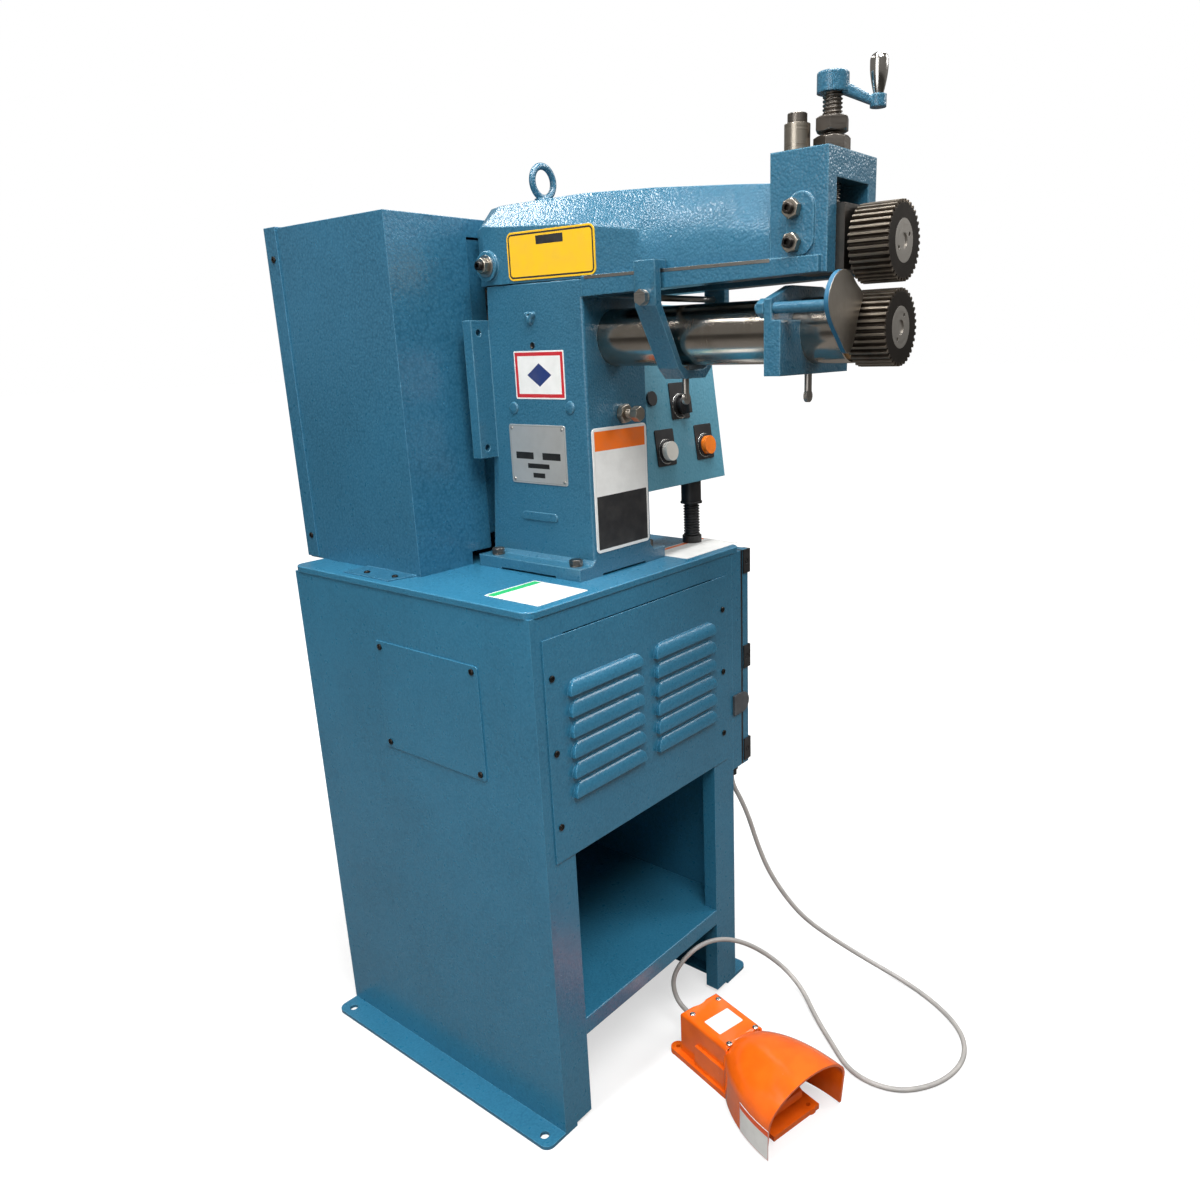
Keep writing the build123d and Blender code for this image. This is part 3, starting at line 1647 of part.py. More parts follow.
# Motor, reducer, sheaves and belt
with BuildPart() as drive_motor:
    motor_mid = (motor_back + motor_front) / 2
    rod(
        (arm_middle, motor_back, motor_axis),
        frontward,
        motor_radius - motor_fin_depth,
        motor_back - motor_front,
    )
    with BuildSketch(front_plane(motor_back - motor_end_length)) as fins:
        with Locations((arm_middle, motor_axis)):
            with PolarLocations(motor_radius - motor_fin_depth, motor_fin_count):
                Rectangle(2 * motor_fin_depth, motor_fin_width)
    extrude(fins.sketch, amount=motor_back - motor_front - 2 * motor_end_length)
    taper(
        (arm_middle, motor_front, motor_axis),
        frontward,
        motor_end_radius,
        motor_end_radius * motor_end_share,
        motor_end_length,
    )
    for y in (motor_back - motor_foot_length, motor_front):
        block(
            (arm_middle - motor_foot_half_width, y, platform_top),
            (
                arm_middle + motor_foot_half_width,
                y + motor_foot_length,
                platform_top + motor_foot_thickness,
            ),
        )
        foot_leg = motor_foot_half_width / 2
        block(
            (arm_middle - foot_leg, y, platform_top),
            (arm_middle + foot_leg, y + motor_foot_length, motor_axis),
        )
    box_x, box_y, box_z = terminal_box
    box_low = motor_axis + motor_radius - motor_fin_depth - overrun
    block(
        (arm_middle - box_x / 2, motor_mid - box_y / 2, box_low),
        (arm_middle + box_x / 2, motor_mid + box_y / 2, box_low + box_z),
    )
write("drive_motor", drive_motor)

with BuildPart() as gear_reducer:
    reducer_front = motor_back
    low = (arm_middle - reducer_half_width, reducer_front, motor_axis - reducer_half_height)
    high = (
        arm_middle + reducer_half_width,
        reducer_front + reducer_length,
        motor_axis + reducer_half_height,
    )
    block(low, high)
    fillet(gear_reducer.edges().filter_by(Axis.Y), reducer_edge)
    foot_leg = reducer_half_width - reducer_edge
    block(
        (arm_middle - foot_leg, reducer_front + reducer_edge, platform_top),
        (arm_middle + foot_leg, reducer_front + reducer_length - reducer_edge, motor_axis),
    )
    rod(
        (arm_middle, reducer_front + reducer_length - output_socket, motor_axis),
        (0, 1, 0),
        output_shaft_radius + running_gap,
        output_socket + overrun,
        Mode.SUBTRACT,
    )
write("gear_reducer", gear_reducer)


def sheave_profile(axis_height, bore, radius):
    """Half section of a V-belt sheave: rim with its groove, web and hub."""
    half = sheave_width / 2
    hub = sheave_hub_length / 2
    groove_top, groove_bottom = groove_top_width / 2, groove_bottom_width / 2
    hub_r = min(sheave_hub_radius, radius - groove_depth - overrun)
    points = [
        (bore, -hub), (hub_r, -hub), (hub_r, -half), (radius, -half), (radius, -groove_top),
        (radius - groove_depth, -groove_bottom), (radius - groove_depth, groove_bottom),
        (radius, groove_top), (radius, half), (hub_r, half), (hub_r, hub), (bore, hub),
    ]
    plane = Plane(origin=(arm_middle, belt_y, axis_height), x_dir=(1, 0, 0), z_dir=(0, 0, 1))
    with BuildSketch(plane) as profile:
        with BuildLine():
            Polyline(*points, close=True)
        make_face()
    revolve(profile.sketch, axis=Axis((arm_middle, belt_y, axis_height), (0, 1, 0)))


with BuildPart() as drive_pulley:
    sheave_profile(motor_axis, output_shaft_radius - overrun, drive_sheave_radius)
    shaft_start = reducer_front + reducer_length - output_socket + seat_gap
    rod(
        (arm_middle, shaft_start, motor_axis),
        rearward,
        output_shaft_radius,
        belt_y + sheave_hub_length / 2 - shaft_start,
    )
write("drive_pulley", drive_pulley)

with BuildPart() as driven_pulley:
    sheave_profile(lower_axis, lower_shaft_radius + fit_gap / 2, driven_sheave_radius)
    rim_inner = driven_sheave_radius - sheave_rim
    for side in (-1, 1):
        face = belt_y + side * sheave_width / 2
        pocket_depth = (sheave_width - sheave_web) / 2
        pocket_plane = Plane(origin=(arm_middle, face, lower_axis), x_dir=rightward, z_dir=(0, -side, 0))
        with BuildSketch(pocket_plane) as pocket:
            Circle(rim_inner)
            Circle(sheave_hub_radius, mode=Mode.SUBTRACT)
        extrude(pocket.sketch, amount=pocket_depth, mode=Mode.SUBTRACT)
    for window in range(sheave_windows):
        angle = radians(window * 360 / sheave_windows)
        x = arm_middle + sheave_window_circle * cos(angle)
        z = lower_axis + sheave_window_circle * sin(angle)
        rod(
            (x, belt_y - sheave_width, z),
            rearward,
            sheave_window_radius,
            2 * sheave_width,
            Mode.SUBTRACT,
        )
write("driven_pulley", driven_pulley)

def belt_loop(offset):
    """The belt's closed line at a distance outside its inner face: two arcs and two strands."""
    small = drive_sheave_radius - groove_depth + seat_gap + offset
    large = driven_sheave_radius - groove_depth + seat_gap + offset
    tilt = (large - small) / (lower_axis - motor_axis)
    cosine = cos(asin(tilt))
    low_z, high_z = motor_axis - small * tilt, lower_axis - large * tilt
    low_left, low_right = (arm_middle - small * cosine, low_z), (arm_middle + small * cosine, low_z)
    high_left, high_right = (arm_middle - large * cosine, high_z), (arm_middle + large * cosine, high_z)
    with BuildSketch(front_plane(belt_y)) as loop:
        with BuildLine():
            Line(low_right, high_right)
            ThreePointArc(high_right, (arm_middle, lower_axis + large), high_left)
            Line(high_left, low_left)
            ThreePointArc(low_left, (arm_middle, motor_axis - small), low_right)
        make_face()
    return loop.sketch


with BuildPart() as drive_belt:
    extrude(belt_loop(belt_thickness), amount=belt_width / 2, both=True)
    extrude(belt_loop(0), amount=belt_width / 2 + overrun, both=True, mode=Mode.SUBTRACT)
write("drive_belt", drive_belt)

# Guard behind the column, open at the back for its cover
with BuildPart() as guard_shell:
    block((guard_left, guard_front, cabinet_height), (guard_right, guard_back, guard_top))
    block(
        (guard_left + guard_sheet, guard_front + guard_sheet, cabinet_height - overrun),
        (guard_right - guard_sheet, guard_back + overrun, guard_top - guard_sheet),
        Mode.SUBTRACT,
    )
    opening_low = (arm_middle - guard_opening_half, guard_front - overrun, guard_base_cut)
    opening_high = (
        arm_middle + guard_opening_half,
        guard_front + guard_sheet + overrun,
        guard_opening_top,
    )
    block(opening_low, opening_high, Mode.SUBTRACT)
    base_left = arm_middle - base_half_width - seat_gap
    base_right = arm_middle + base_half_width + seat_gap
    block(
        (base_left, guard_front - overrun, cabinet_height - overrun),
        (base_right, guard_front + guard_sheet + overrun, guard_base_cut),
        Mode.SUBTRACT,
    )
    for side, wall, reach in ((-1, guard_left, guard_flange_left), (1, guard_right, guard_flange_right)):
        with BuildSketch(Plane.XY.offset(cabinet_height)) as flange:
            with BuildLine():
                Polyline(
                    (wall - side * guard_sheet, guard_front + guard_flange_slant / 2),
                    (wall + side * reach, guard_front + guard_flange_slant),
                    (wall + side * reach, guard_front + guard_flange_length),
                    (wall - side * guard_sheet, guard_front + guard_flange_length),
                    close=True,
                )
            make_face()
        extrude(flange.sketch, amount=guard_sheet)
        for height in guard_screw_heights:
            screw_hole((wall, guard_back - cover_lap / 2, height), (side, 0, 0), guard_sheet)
    for x, y in flange_screws:
        screw_hole((x, y, cabinet_height + guard_sheet), up, guard_sheet)
write("guard_shell", guard_shell)

with BuildPart() as guard_rear_cover:
    block(
        (guard_left - guard_sheet, guard_back - cover_lap, cabinet_height + guard_sheet),
        (guard_right + guard_sheet, guard_back + cover_depth, guard_top + guard_sheet),
    )
    block(
        (guard_left, guard_back - cover_lap - overrun, cabinet_height),
        (guard_right, guard_back + cover_depth - guard_sheet, guard_top),
        Mode.SUBTRACT,
    )
    for side, wall in ((-1, guard_left), (1, guard_right)):
        for height in guard_screw_heights:
            screw_hole(
                (wall + side * guard_sheet, guard_back - cover_lap / 2, height),
                (side, 0, 0),
                guard_sheet,
            )
write("guard_rear_cover", guard_rear_cover)

# Control box with a leaning front panel
def panel_y(height):
    """Y of the leaning panel at a height."""
    return control_front + control_lean * (height - control_bottom)


def panel_plane(x, height, out=0):
    """A plane on the control panel at a place, its Z pointing out of the panel."""
    plane = Plane(origin=(x, panel_y(height), height), x_dir=(1, 0, 0), z_dir=(0, -1, control_lean))
    return plane.offset(out)


def panel_rod(x, height, radius, low, high, mode=Mode.ADD):
    """A round piece square to the panel, between two distances from its face."""
    with Locations(panel_plane(x, height, low)):
        Cylinder(radius, high - low, align=(Align.CENTER, Align.CENTER, Align.MIN), mode=mode)


controls = ((start_x, button_height), (stop_x, button_height), (selector_x, selector_height))
with BuildPart() as control_box:
    box_line = [
        (control_front, control_bottom),
        (panel_y(control_top), control_top),
        (control_back, control_top),
        (control_back, control_bottom),
    ]
    prism(side_plane(control_left), box_line, control_right - control_left)
    hollow_line = [
        (panel_y(control_bottom + control_sheet) + control_sheet, control_bottom + control_sheet),
        (panel_y(control_top - control_sheet) + control_sheet, control_top - control_sheet),
        (control_back - control_sheet, control_top - control_sheet),
        (control_back - control_sheet, control_bottom + control_sheet),
    ]
    prism(
        side_plane(control_left + control_sheet),
        hollow_line,
        control_right - control_left - 2 * control_sheet,
        Mode.SUBTRACT,
    )
    for x, height in controls:
        panel_rod(x, height, plunger_radius + seat_gap, panel_cut_depth, control_sheet, Mode.SUBTRACT)
    panel_rod(
        plug_x,
        plug_height,
        plug_radius - control_sheet,
        panel_cut_depth,
        control_sheet,
        Mode.SUBTRACT,
    )
    drill((conduit_x, conduit_y, control_bottom), up, conduit_bore_radius, control_sheet)
write("control_box", control_box)

with BuildPart() as panel_fittings:
    # Legend plates, one above each button and one round the selector
    for (x, height), rise in zip(controls, (legend_rise, legend_rise, selector_legend_rise)):
        with BuildSketch(panel_plane(x, height + rise)) as legend:
            RectangleRounded(legend_width, legend_height, legend_thickness * 2)
        extrude(legend.sketch, amount=legend_thickness)
        panel_rod(x, height, bezel_radius, 0, bezel_height + legend_thickness)
        panel_rod(
            x,
            height,
            cap_radius + seat_gap,
            legend_thickness,
            bezel_height + legend_thickness + overrun,
            Mode.SUBTRACT,
        )
        panel_rod(x, height, plunger_radius + seat_gap, -overrun, bezel_height, Mode.SUBTRACT)
    panel_rod(plug_x, plug_height, plug_radius, 0, bezel_height)
write("panel_fittings", panel_fittings)


def button(x):
    """A push button's cap on its plunger."""
    cap_low = legend_thickness + button_travel + seat_gap
    panel_rod(x, button_height, cap_radius, cap_low, cap_low + cap_height)
    panel_rod(x, button_height, plunger_radius, -contact_gap + button_travel + seat_gap, cap_low)


with BuildPart() as start_button:
    button(start_x)
write("start_button", start_button)

with BuildPart() as stop_button:
    button(stop_x)
write("stop_button", stop_button)

with BuildPart() as selector_knob:
    knob_low = legend_thickness + seat_gap
    panel_rod(selector_x, selector_height, knob_radius, knob_low, knob_low + knob_height)
    with Locations(panel_plane(selector_x, selector_height, knob_low)):
        Box(
            grip_width,
            2 * knob_radius,
            knob_height + grip_rise,
            align=(Align.CENTER, Align.CENTER, Align.MIN),
        )
    panel_rod(selector_x, selector_height, plunger_radius, -contact_gap + seat_gap, knob_low)
write("selector_knob", selector_knob)

# Ribbed conduit from the control box down to the cabinet's top
with BuildPart() as conduit_hose:
    pitch = (conduit_high - conduit_low - 2 * conduit_end) / conduit_ribs
    rings = [(conduit_low, conduit_root_radius), (conduit_low + conduit_end, conduit_root_radius)]
    for rib in range(conduit_ribs):
        base = conduit_low + conduit_end + rib * pitch
        rings += [
            (base + pitch * rib_start_share, conduit_root_radius),
            (base + pitch * rib_rise_share, conduit_radius),
            (base + pitch * rib_fall_share, conduit_radius),
            (base + pitch * rib_end_share, conduit_root_radius),
        ]
    rings.append((conduit_high, conduit_root_radius))
    circles = []
    for height, radius in rings:
        with BuildSketch(Plane(origin=(conduit_x, conduit_y, height))) as ring:
            Circle(radius)
        circles.append(ring.sketch)
    loft(circles, ruled=True)
    drill((conduit_x, conduit_y, conduit_low), up, conduit_bore_radius, conduit_high - conduit_low)
write("conduit_hose", conduit_hose)

# Seals and glands of black plastic: conduit ends, cable glands, door seal
with BuildPart() as seals_and_glands:
    bore = conduit_root_radius + fit_gap
    rod(
        (conduit_x, conduit_y, cabinet_height),
        up,
        conduit_nut_radius,
        conduit_low + conduit_end - cabinet_height,
    )
    rod((conduit_x, conduit_y, connector_low - conduit_end), up, connector_ring_radius, connector_ring)
    rod(
        (conduit_x, conduit_y, connector_low - conduit_end),
        up,
        connector_radius,
        control_bottom - connector_low + conduit_end,
    )
    rod((conduit_x, conduit_y, conduit_low), up, bore, conduit_high - conduit_low, Mode.SUBTRACT)
    drill(
        (conduit_x, conduit_y, cabinet_height),
        up,
        conduit_bore_radius,
        control_bottom - cabinet_height,
    )
    # Gland of the cable under the enclosure
    rod((*top_gland, enclosure_bottom), down, gland_collar_radius, top_gland_length / 3)
    rod((*top_gland, enclosure_bottom), down, gland_radius, top_gland_length)
    # Gland at the back of the foot switch
    rear = foot_point(0, -housing_back, foot_gland_height)
    rod(rear, foot_back, gland_collar_radius, foot_gland_length / 3)
    rod(rear, foot_back, gland_radius, foot_gland_length)
    # Seal between the enclosure and its door
    with BuildSketch(side_plane(enclosure_face)) as seal:
        with Locations(((front_face + enclosure_rear) / 2, (enclosure_bottom + shell_top) / 2)):
            Rectangle(enclosure_length - 2 * seat_gap, shell_top - enclosure_bottom)
            Rectangle(
                enclosure_length - 2 * seal_width,
                shell_top - enclosure_bottom - 2 * seal_width,
                mode=Mode.SUBTRACT,
            )
    extrude(seal.sketch, amount=door_gap - seat_gap)
write("seals_and_glands", seals_and_glands)

# Electrical enclosure on the cabinet's right side, recessed through its wall
with BuildPart() as enclosure_box:
    block((half_width, front_face, enclosure_bottom), (enclosure_face, enclosure_rear, shell_top))
    block((half_width - recess_depth, recess_front, recess_low), (half_width, recess_rear, recess_high))
    block(
        (half_width + enclosure_sheet, front_face + enclosure_sheet, enclosure_bottom + enclosure_sheet),
        (enclosure_face + overrun, enclosure_rear - enclosure_sheet, shell_top - enclosure_sheet),
        Mode.SUBTRACT,
    )
    block(
        (
            half_width - recess_depth + enclosure_sheet,
            recess_front + enclosure_sheet,
            recess_low + enclosure_sheet,
        ),
        (enclosure_face + overrun, recess_rear - enclosure_sheet, recess_high - enclosure_sheet),
        Mode.SUBTRACT,
    )
    drill((*top_gland, enclosure_bottom), up, cable_radius + fit_gap, enclosure_sheet)
    # Fixed halves of the door's hinges: a leaf, two knuckles and the pin
    for height in hinge_heights:
        low, high = height - hinge_height / 2, height + hinge_height / 2
        block(
            (enclosure_face - hinge_leaf_reach, enclosure_rear, low),
            (enclosure_face, enclosure_rear + hinge_leaf, high),
        )
        for base in (low, high - hinge_knuckle):
            block(
                (enclosure_face - overrun, enclosure_rear + seat_gap, base),
                (hinge_axis[0], enclosure_rear + hinge_leaf, base + hinge_knuckle),
            )
            rod((*hinge_axis, base), up, hinge_radius, hinge_knuckle)
        rod((*hinge_axis, low), up, hinge_pin_radius, hinge_height)
write("enclosure_box", enclosure_box)

with BuildPart() as switchgear:
    back = half_width - recess_depth + enclosure_sheet
    gear_low, gear_high = recess_low + 3 * enclosure_sheet, recess_high - 3 * enclosure_sheet
    gear_front, gear_rear = recess_front + 3 * enclosure_sheet, recess_rear - 3 * enclosure_sheet
    block((back, gear_front, gear_low), (back + enclosure_sheet, gear_rear, gear_high))
    rail = back + enclosure_sheet
    unit_x, unit_y, unit_z = starter_unit
    for row, count in enumerate(starter_rows):
        unit_low = gear_low + starter_margin + row * (unit_z + starter_margin)
        for column in range(count):
            unit_front = gear_front + starter_margin + column * (unit_y + enclosure_sheet)
            block((rail, unit_front, unit_low), (rail + unit_x, unit_front + unit_y, unit_low + unit_z))
    # Contact blocks behind the panel's buttons and selector
    for x, height in controls:
        with Locations(panel_plane(x, height, -control_sheet)):
            Box(*contact_size, align=(Align.CENTER, Align.CENTER, Align.MAX))
        panel_rod(x, height, plunger_radius + seat_gap, -contact_gap, control_sheet, Mode.SUBTRACT)
    # Foot switch contact
    contact_width, contact_depth, contact_height = contact_size
    contact_middle = (housing_back + housing_wall + neck) / 2
    foot_block(
        (-contact_width / 2, contact_width / 2),
        (-contact_middle - contact_depth / 2, -contact_middle + contact_depth / 2),
        (foot_base_height, foot_base_height + contact_height),
    )
write("switchgear", switchgear)

with BuildPart() as enclosure_door:
    door_front, door_rear = front_face, enclosure_rear
    block((door_inner, door_front, enclosure_bottom), (door_outer, door_rear, shell_top))
    block(
        (door_inner - overrun, door_front + door_sheet, enclosure_bottom + door_sheet),
        (door_outer - door_sheet, door_rear - door_sheet, shell_top - door_sheet),
        Mode.SUBTRACT,
    )
    fillet(enclosure_door.edges().filter_by(Axis.Z).group_by(Axis.X)[-1], door_sheet)
    # Moving halves of the hinges
    for height in hinge_heights:
        middle = hinge_height / 2 - hinge_knuckle - seat_gap
        block(
            (door_outer, enclosure_rear - hinge_leaf_reach, height - middle),
            (hinge_axis[0], enclosure_rear, height + middle),
        )
        block(
            (
                door_outer + hinge_leaf,
                enclosure_rear - hinge_leaf_reach - overrun,
                height - middle - overrun,
            ),
            (hinge_axis[0] + overrun, enclosure_rear - hinge_radius, height + middle + overrun),
            Mode.SUBTRACT,
        )
        rod((*hinge_axis, height - middle), up, hinge_radius, 2 * middle)
        rod(
            (*hinge_axis, height - middle - overrun),
            up,
            hinge_pin_radius + running_gap,
            2 * (middle + overrun),
            Mode.SUBTRACT,
        )
write("enclosure_door", enclosure_door)

with BuildPart() as door_clamps:
    for height in clamp_heights:
        low = (door_inner + seat_gap, front_face - clamp_rise, height - clamp_height / 2)
        block(low, (door_outer + clamp_rise, front_face, height + clamp_height / 2))
        block(
            (door_outer, front_face - clamp_rise, height - clamp_height / 2),
            (door_outer + clamp_rise, front_face + clamp_length, height + clamp_height / 2),
        )
        # Screw that holds the clamp, and the hollow round it
        clamp_x = (door_inner + door_outer) / 2
        rod(
            (clamp_x, front_face - clamp_rise - overrun, height),
            rearward,
            clamp_hollow,
            overrun + clamp_rise / 2,
            Mode.SUBTRACT,
        )
        rod((clamp_x, front_face - clamp_rise / 2, height), frontward, clamp_screw, clamp_rise / 2)
write("door_clamps", door_clamps)

with BuildPart() as door_hasp:
    with BuildSketch(front_plane(front_face - hasp_offset)) as hasp:
        with Locations((half_width + hasp_reach / 2, hasp_height)):
            SlotOverall(hasp_reach, hasp_tall)
        with Locations((half_width + hasp_reach / 4, hasp_height)):
            Rectangle(hasp_reach / 2, hasp_tall)
    extrude(hasp.sketch, amount=hasp_thickness)
    block(
        (half_width, front_face - hasp_offset, hasp_height - hasp_tall / 2),
        (enclosure_face - seat_gap, front_face, hasp_height + hasp_tall / 2),
    )
write("door_hasp", door_hasp)

# Foot switch
with BuildPart() as foot_base:
    with BuildSketch(foot_frame):
        with Locations((0, -foot_length / 2)):
            Rectangle(foot_width, foot_length)
        with Locations(*foot_ears):
            Circle(foot_ear)
    extrude(amount=foot_base_height)
    for x, y in foot_ears:
        rod(foot_point(x, y, -overrun), up, foot_ear_hole, foot_base_height + 2 * overrun, Mode.SUBTRACT)
    # Lugs of the treadle's pin
    pivot_y, pivot_z = treadle_pivot
    with BuildSketch(foot_frame) as lugs:
        for side in (-1, 1):
            with Locations((side * (treadle_half_width + seat_gap + treadle_lug / 2), pivot_y)):
                Rectangle(treadle_lug, 2 * treadle_lug_half)
    extrude(lugs.sketch, amount=pivot_z + treadle_lug_half)
    pin_half = treadle_half_width + seat_gap + treadle_lug + overrun
    rod(
        foot_point(-pin_half, pivot_y, pivot_z),
        foot_right,
        treadle_pin_radius + running_gap,
        2 * pin_half,
        Mode.SUBTRACT,
    )
write("foot_base", foot_base)


def foot_cross(distance):
    """A plane across the foot switch at a distance from its rear edge, facing the operator."""
    return Plane(
        origin=foot_point(0, -distance, 0),
        x_dir=foot_right,
        z_dir=tuple(-v for v in foot_back),
    )


def hood_face(section, wall):
    """The hood's section, drawn in by a wall thickness."""
    distance, half, shoulder, crown = section
    half, crown = half - wall, crown - wall
    with BuildSketch(foot_cross(distance)) as face:
        with BuildLine():
            bend = EllipticalCenterArc(
                (0, shoulder),
                half,
                crown - shoulder,
                start_angle=0,
                arc_size=180,
            )
            Polyline(bend @ 1, (-half, hood_low), (half, hood_low), bend @ 0)
        make_face()
    return face.sketch


with BuildPart() as foot_housing:
    foot_block(
        (-housing_half_width, housing_half_width),
        (-neck, -housing_back),
        (foot_base_height, housing_top),
    )
    top_edges = foot_housing.faces().sort_by(Axis.Z)[-1].edges()
    fillet(top_edges, housing_edge)
    skirt_half = housing_half_width + housing_skirt
    foot_block(
        (-skirt_half, skirt_half),
        (-neck, -housing_skirt_back),
        (foot_base_height, housing_skirt_top),
    )
    loft([hood_face(section, 0) for section in hood_sections])
    # Hollow of the housing and of the hood
    inner_half = housing_half_width - housing_wall
    foot_block(
        (-inner_half, inner_half),
        (-neck, -housing_back - housing_wall),
        (foot_base_height - overrun, housing_top - housing_wall),
        Mode.SUBTRACT,
    )
    loft([hood_face(section, hood_wall) for section in hood_sections], mode=Mode.SUBTRACT)
    # Room for the base, the slanted front edge, the scallop at the back
    base_half = foot_width / 2 + fit_gap
    foot_block(
        (-base_half, base_half),
        (-foot_length - fit_gap, 0),
        (0, foot_base_height),
        Mode.SUBTRACT,
    )
    far = hood_sections[-1][0] + overrun
    crown_top = hood_sections[-1][3] + overrun
    slant_plane = Plane(origin=foot_point(0, 0, 0), x_dir=tuple(-v for v in foot_back), z_dir=foot_right)
    prism(
        slant_plane,
        [(hood_front_low, 0), (far, 0), (far, -crown_top), (hood_front_high, -crown_top)],
        hood_sections[-1][1] + overrun,
        Mode.SUBTRACT,
        both=True,
    )
    rod(
        foot_point(0, -housing_back - scallop_depth + scallop_radius, housing_top - housing_edge),
        up,
        scallop_radius,
        housing_edge + overrun,
        Mode.SUBTRACT,
    )
    for x in (-foot_screw_x, foot_screw_x):
        for y in foot_screw_y:
            screw_hole(foot_point(x, y, housing_top), up, housing_wall)
    rod(
        foot_point(0, -housing_back + overrun, foot_gland_height),
        tuple(-v for v in foot_back),
        cable_radius,
        housing_wall + 2 * overrun,
        Mode.SUBTRACT,
    )
write("foot_housing", foot_housing)

with BuildPart() as foot_treadle:
    prism(slant_plane, [(y, -z) for y, z in treadle_outline], treadle_half_width, both=True)
    rod(
        foot_point(-pin_half + overrun, pivot_y, pivot_z),
        foot_right,
        treadle_pin_radius,
        2 * (pin_half - overrun),
    )
    rib_pitch = (treadle_rib_last - treadle_rib_first) / (treadle_ribs - 1)
    top_y, top_z = treadle_outline[2]
    for rib in range(treadle_ribs):
        distance = treadle_rib_first + rib * rib_pitch
        surface = top_z - treadle_slope * (distance - top_y)
        rib_line = [
            (distance - treadle_rib_width / 2, -surface + overrun),
            (distance + treadle_rib_width / 2, -surface + overrun),
            (distance + treadle_rib_width / 2, -surface - treadle_rib_height),
            (distance - treadle_rib_width / 2, -surface - treadle_rib_height),
        ]
        prism(slant_plane, rib_line, treadle_half_width - treadle_rib_width, both=True)
write("foot_treadle", foot_treadle)

# Small pan-head screws of the covers
def pan_screw(face, out):
    """A pan-head screw on a face, its head pointing out along a direction."""
    start = Vector(face)
    away = Vector(out)
    rod(start, away, screw_head_radius, screw_head_height / 2)
    taper(
        start + away * (screw_head_height / 2),
        away,
        screw_head_radius,
        screw_head_top,
        screw_head_height / 2,
    )
    rod(start, -away, screw_shank_radius, screw_shank_length)


with BuildPart() as cover_screws:
    for x, z in panel_screws:
        pan_screw((x, front_face - panel_sheet, z), frontward)
    for y, z in cover_screw_places:
        pan_screw((-half_width - panel_sheet, y, z), leftward)
    for side, wall in ((-1, guard_left), (1, guard_right)):
        for height in guard_screw_heights:
            pan_screw((wall + side * guard_sheet, guard_back - cover_lap / 2, height), (side, 0, 0))
    for x, y in flange_screws:
        pan_screw((x, y, cabinet_height + guard_sheet), up)
    for x in (-foot_screw_x, foot_screw_x):
        for y in foot_screw_y:
            pan_screw(foot_point(x, y, housing_top), up)
write("cover_screws", cover_screws)

# Cable from the enclosure to the foot switch: corner points of its middle line
gland_end = enclosure_bottom - top_gland_length
cable_exit = foot_point(0, -housing_back + foot_gland_length, foot_gland_height)
cable_turn = foot_point(0, -housing_back + foot_gland_length + cable_lead, foot_gland_height)
cable_points = [(*top_gland, gland_end)]
cable_points += [(top_gland[0] + x, top_gland[1] + y, z) for x, y, z in cable_drop]
cable_points += [*cable_run, cable_turn, cable_exit]
cable_radii = []
for before, corner, after in zip(cable_points, cable_points[1:], cable_points[2:]):
    arriving = Vector(corner) - Vector(before)
    leaving = Vector(after) - Vector(corner)
    half_turn = radians(arriving.get_angle(leaving)) / 2
    cable_radii.append(bend_share * min(arriving.length, leaving.length) / tan(half_turn))
print("cable radii", [round(radius) for radius in cable_radii])
with BuildPart() as foot_cable:
    with BuildLine() as cable_line:
        FilletPolyline(*cable_points, radius=cable_radii)
    with BuildSketch(Plane(origin=cable_line.line @ 0, z_dir=cable_line.line % 0)):
        Circle(cable_radius)
    sweep(path=cable_line.wires()[0])
cable_path = cable_line.wires()[0]
print("cable length", round(cable_path.length, 1))
write("foot_cable", foot_cable)
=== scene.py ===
"""A motor-driven rotary machine on its cabinet stand, dressed for rendering.

Metres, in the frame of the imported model: +Z up, -Y towards the operator, +X to the operator's right.
"""

from __future__ import annotations

import json
import logging
from dataclasses import dataclass, field
from enum import Enum
from itertools import product
from typing import Sequence

import bmesh
import bpy
import numpy as np
from mathutils import Matrix, Vector
from mathutils.bvhtree import BVHTree

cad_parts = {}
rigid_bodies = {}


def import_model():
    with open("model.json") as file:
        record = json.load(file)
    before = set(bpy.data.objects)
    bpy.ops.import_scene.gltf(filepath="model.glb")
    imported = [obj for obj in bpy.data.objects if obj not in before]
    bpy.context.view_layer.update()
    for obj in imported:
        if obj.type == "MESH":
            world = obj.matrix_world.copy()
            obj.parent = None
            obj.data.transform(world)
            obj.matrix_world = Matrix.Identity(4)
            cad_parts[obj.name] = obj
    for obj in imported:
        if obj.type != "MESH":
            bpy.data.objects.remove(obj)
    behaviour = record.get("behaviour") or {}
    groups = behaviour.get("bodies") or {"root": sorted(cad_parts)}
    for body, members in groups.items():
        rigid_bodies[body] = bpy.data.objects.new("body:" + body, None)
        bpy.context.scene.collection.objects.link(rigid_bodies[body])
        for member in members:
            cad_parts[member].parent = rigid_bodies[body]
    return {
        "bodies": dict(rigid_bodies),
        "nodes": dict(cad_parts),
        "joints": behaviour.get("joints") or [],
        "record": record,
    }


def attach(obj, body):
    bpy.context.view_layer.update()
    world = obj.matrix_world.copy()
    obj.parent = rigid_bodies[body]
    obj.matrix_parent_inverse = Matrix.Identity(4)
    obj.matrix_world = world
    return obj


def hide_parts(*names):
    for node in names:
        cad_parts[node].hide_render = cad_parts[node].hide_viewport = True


log = logging.getLogger("rotary_machine")
Colour = tuple[float, float, float]
Socket = bpy.types.NodeSocket
Point = Sequence[float]
Rows = list[tuple[float, float, float]]

LEFT, RIGHT = (-1, 0, 0), (1, 0, 0)
FRONT, BACK = (0, -1, 0), (0, 1, 0)
UP = (0, 0, 1)

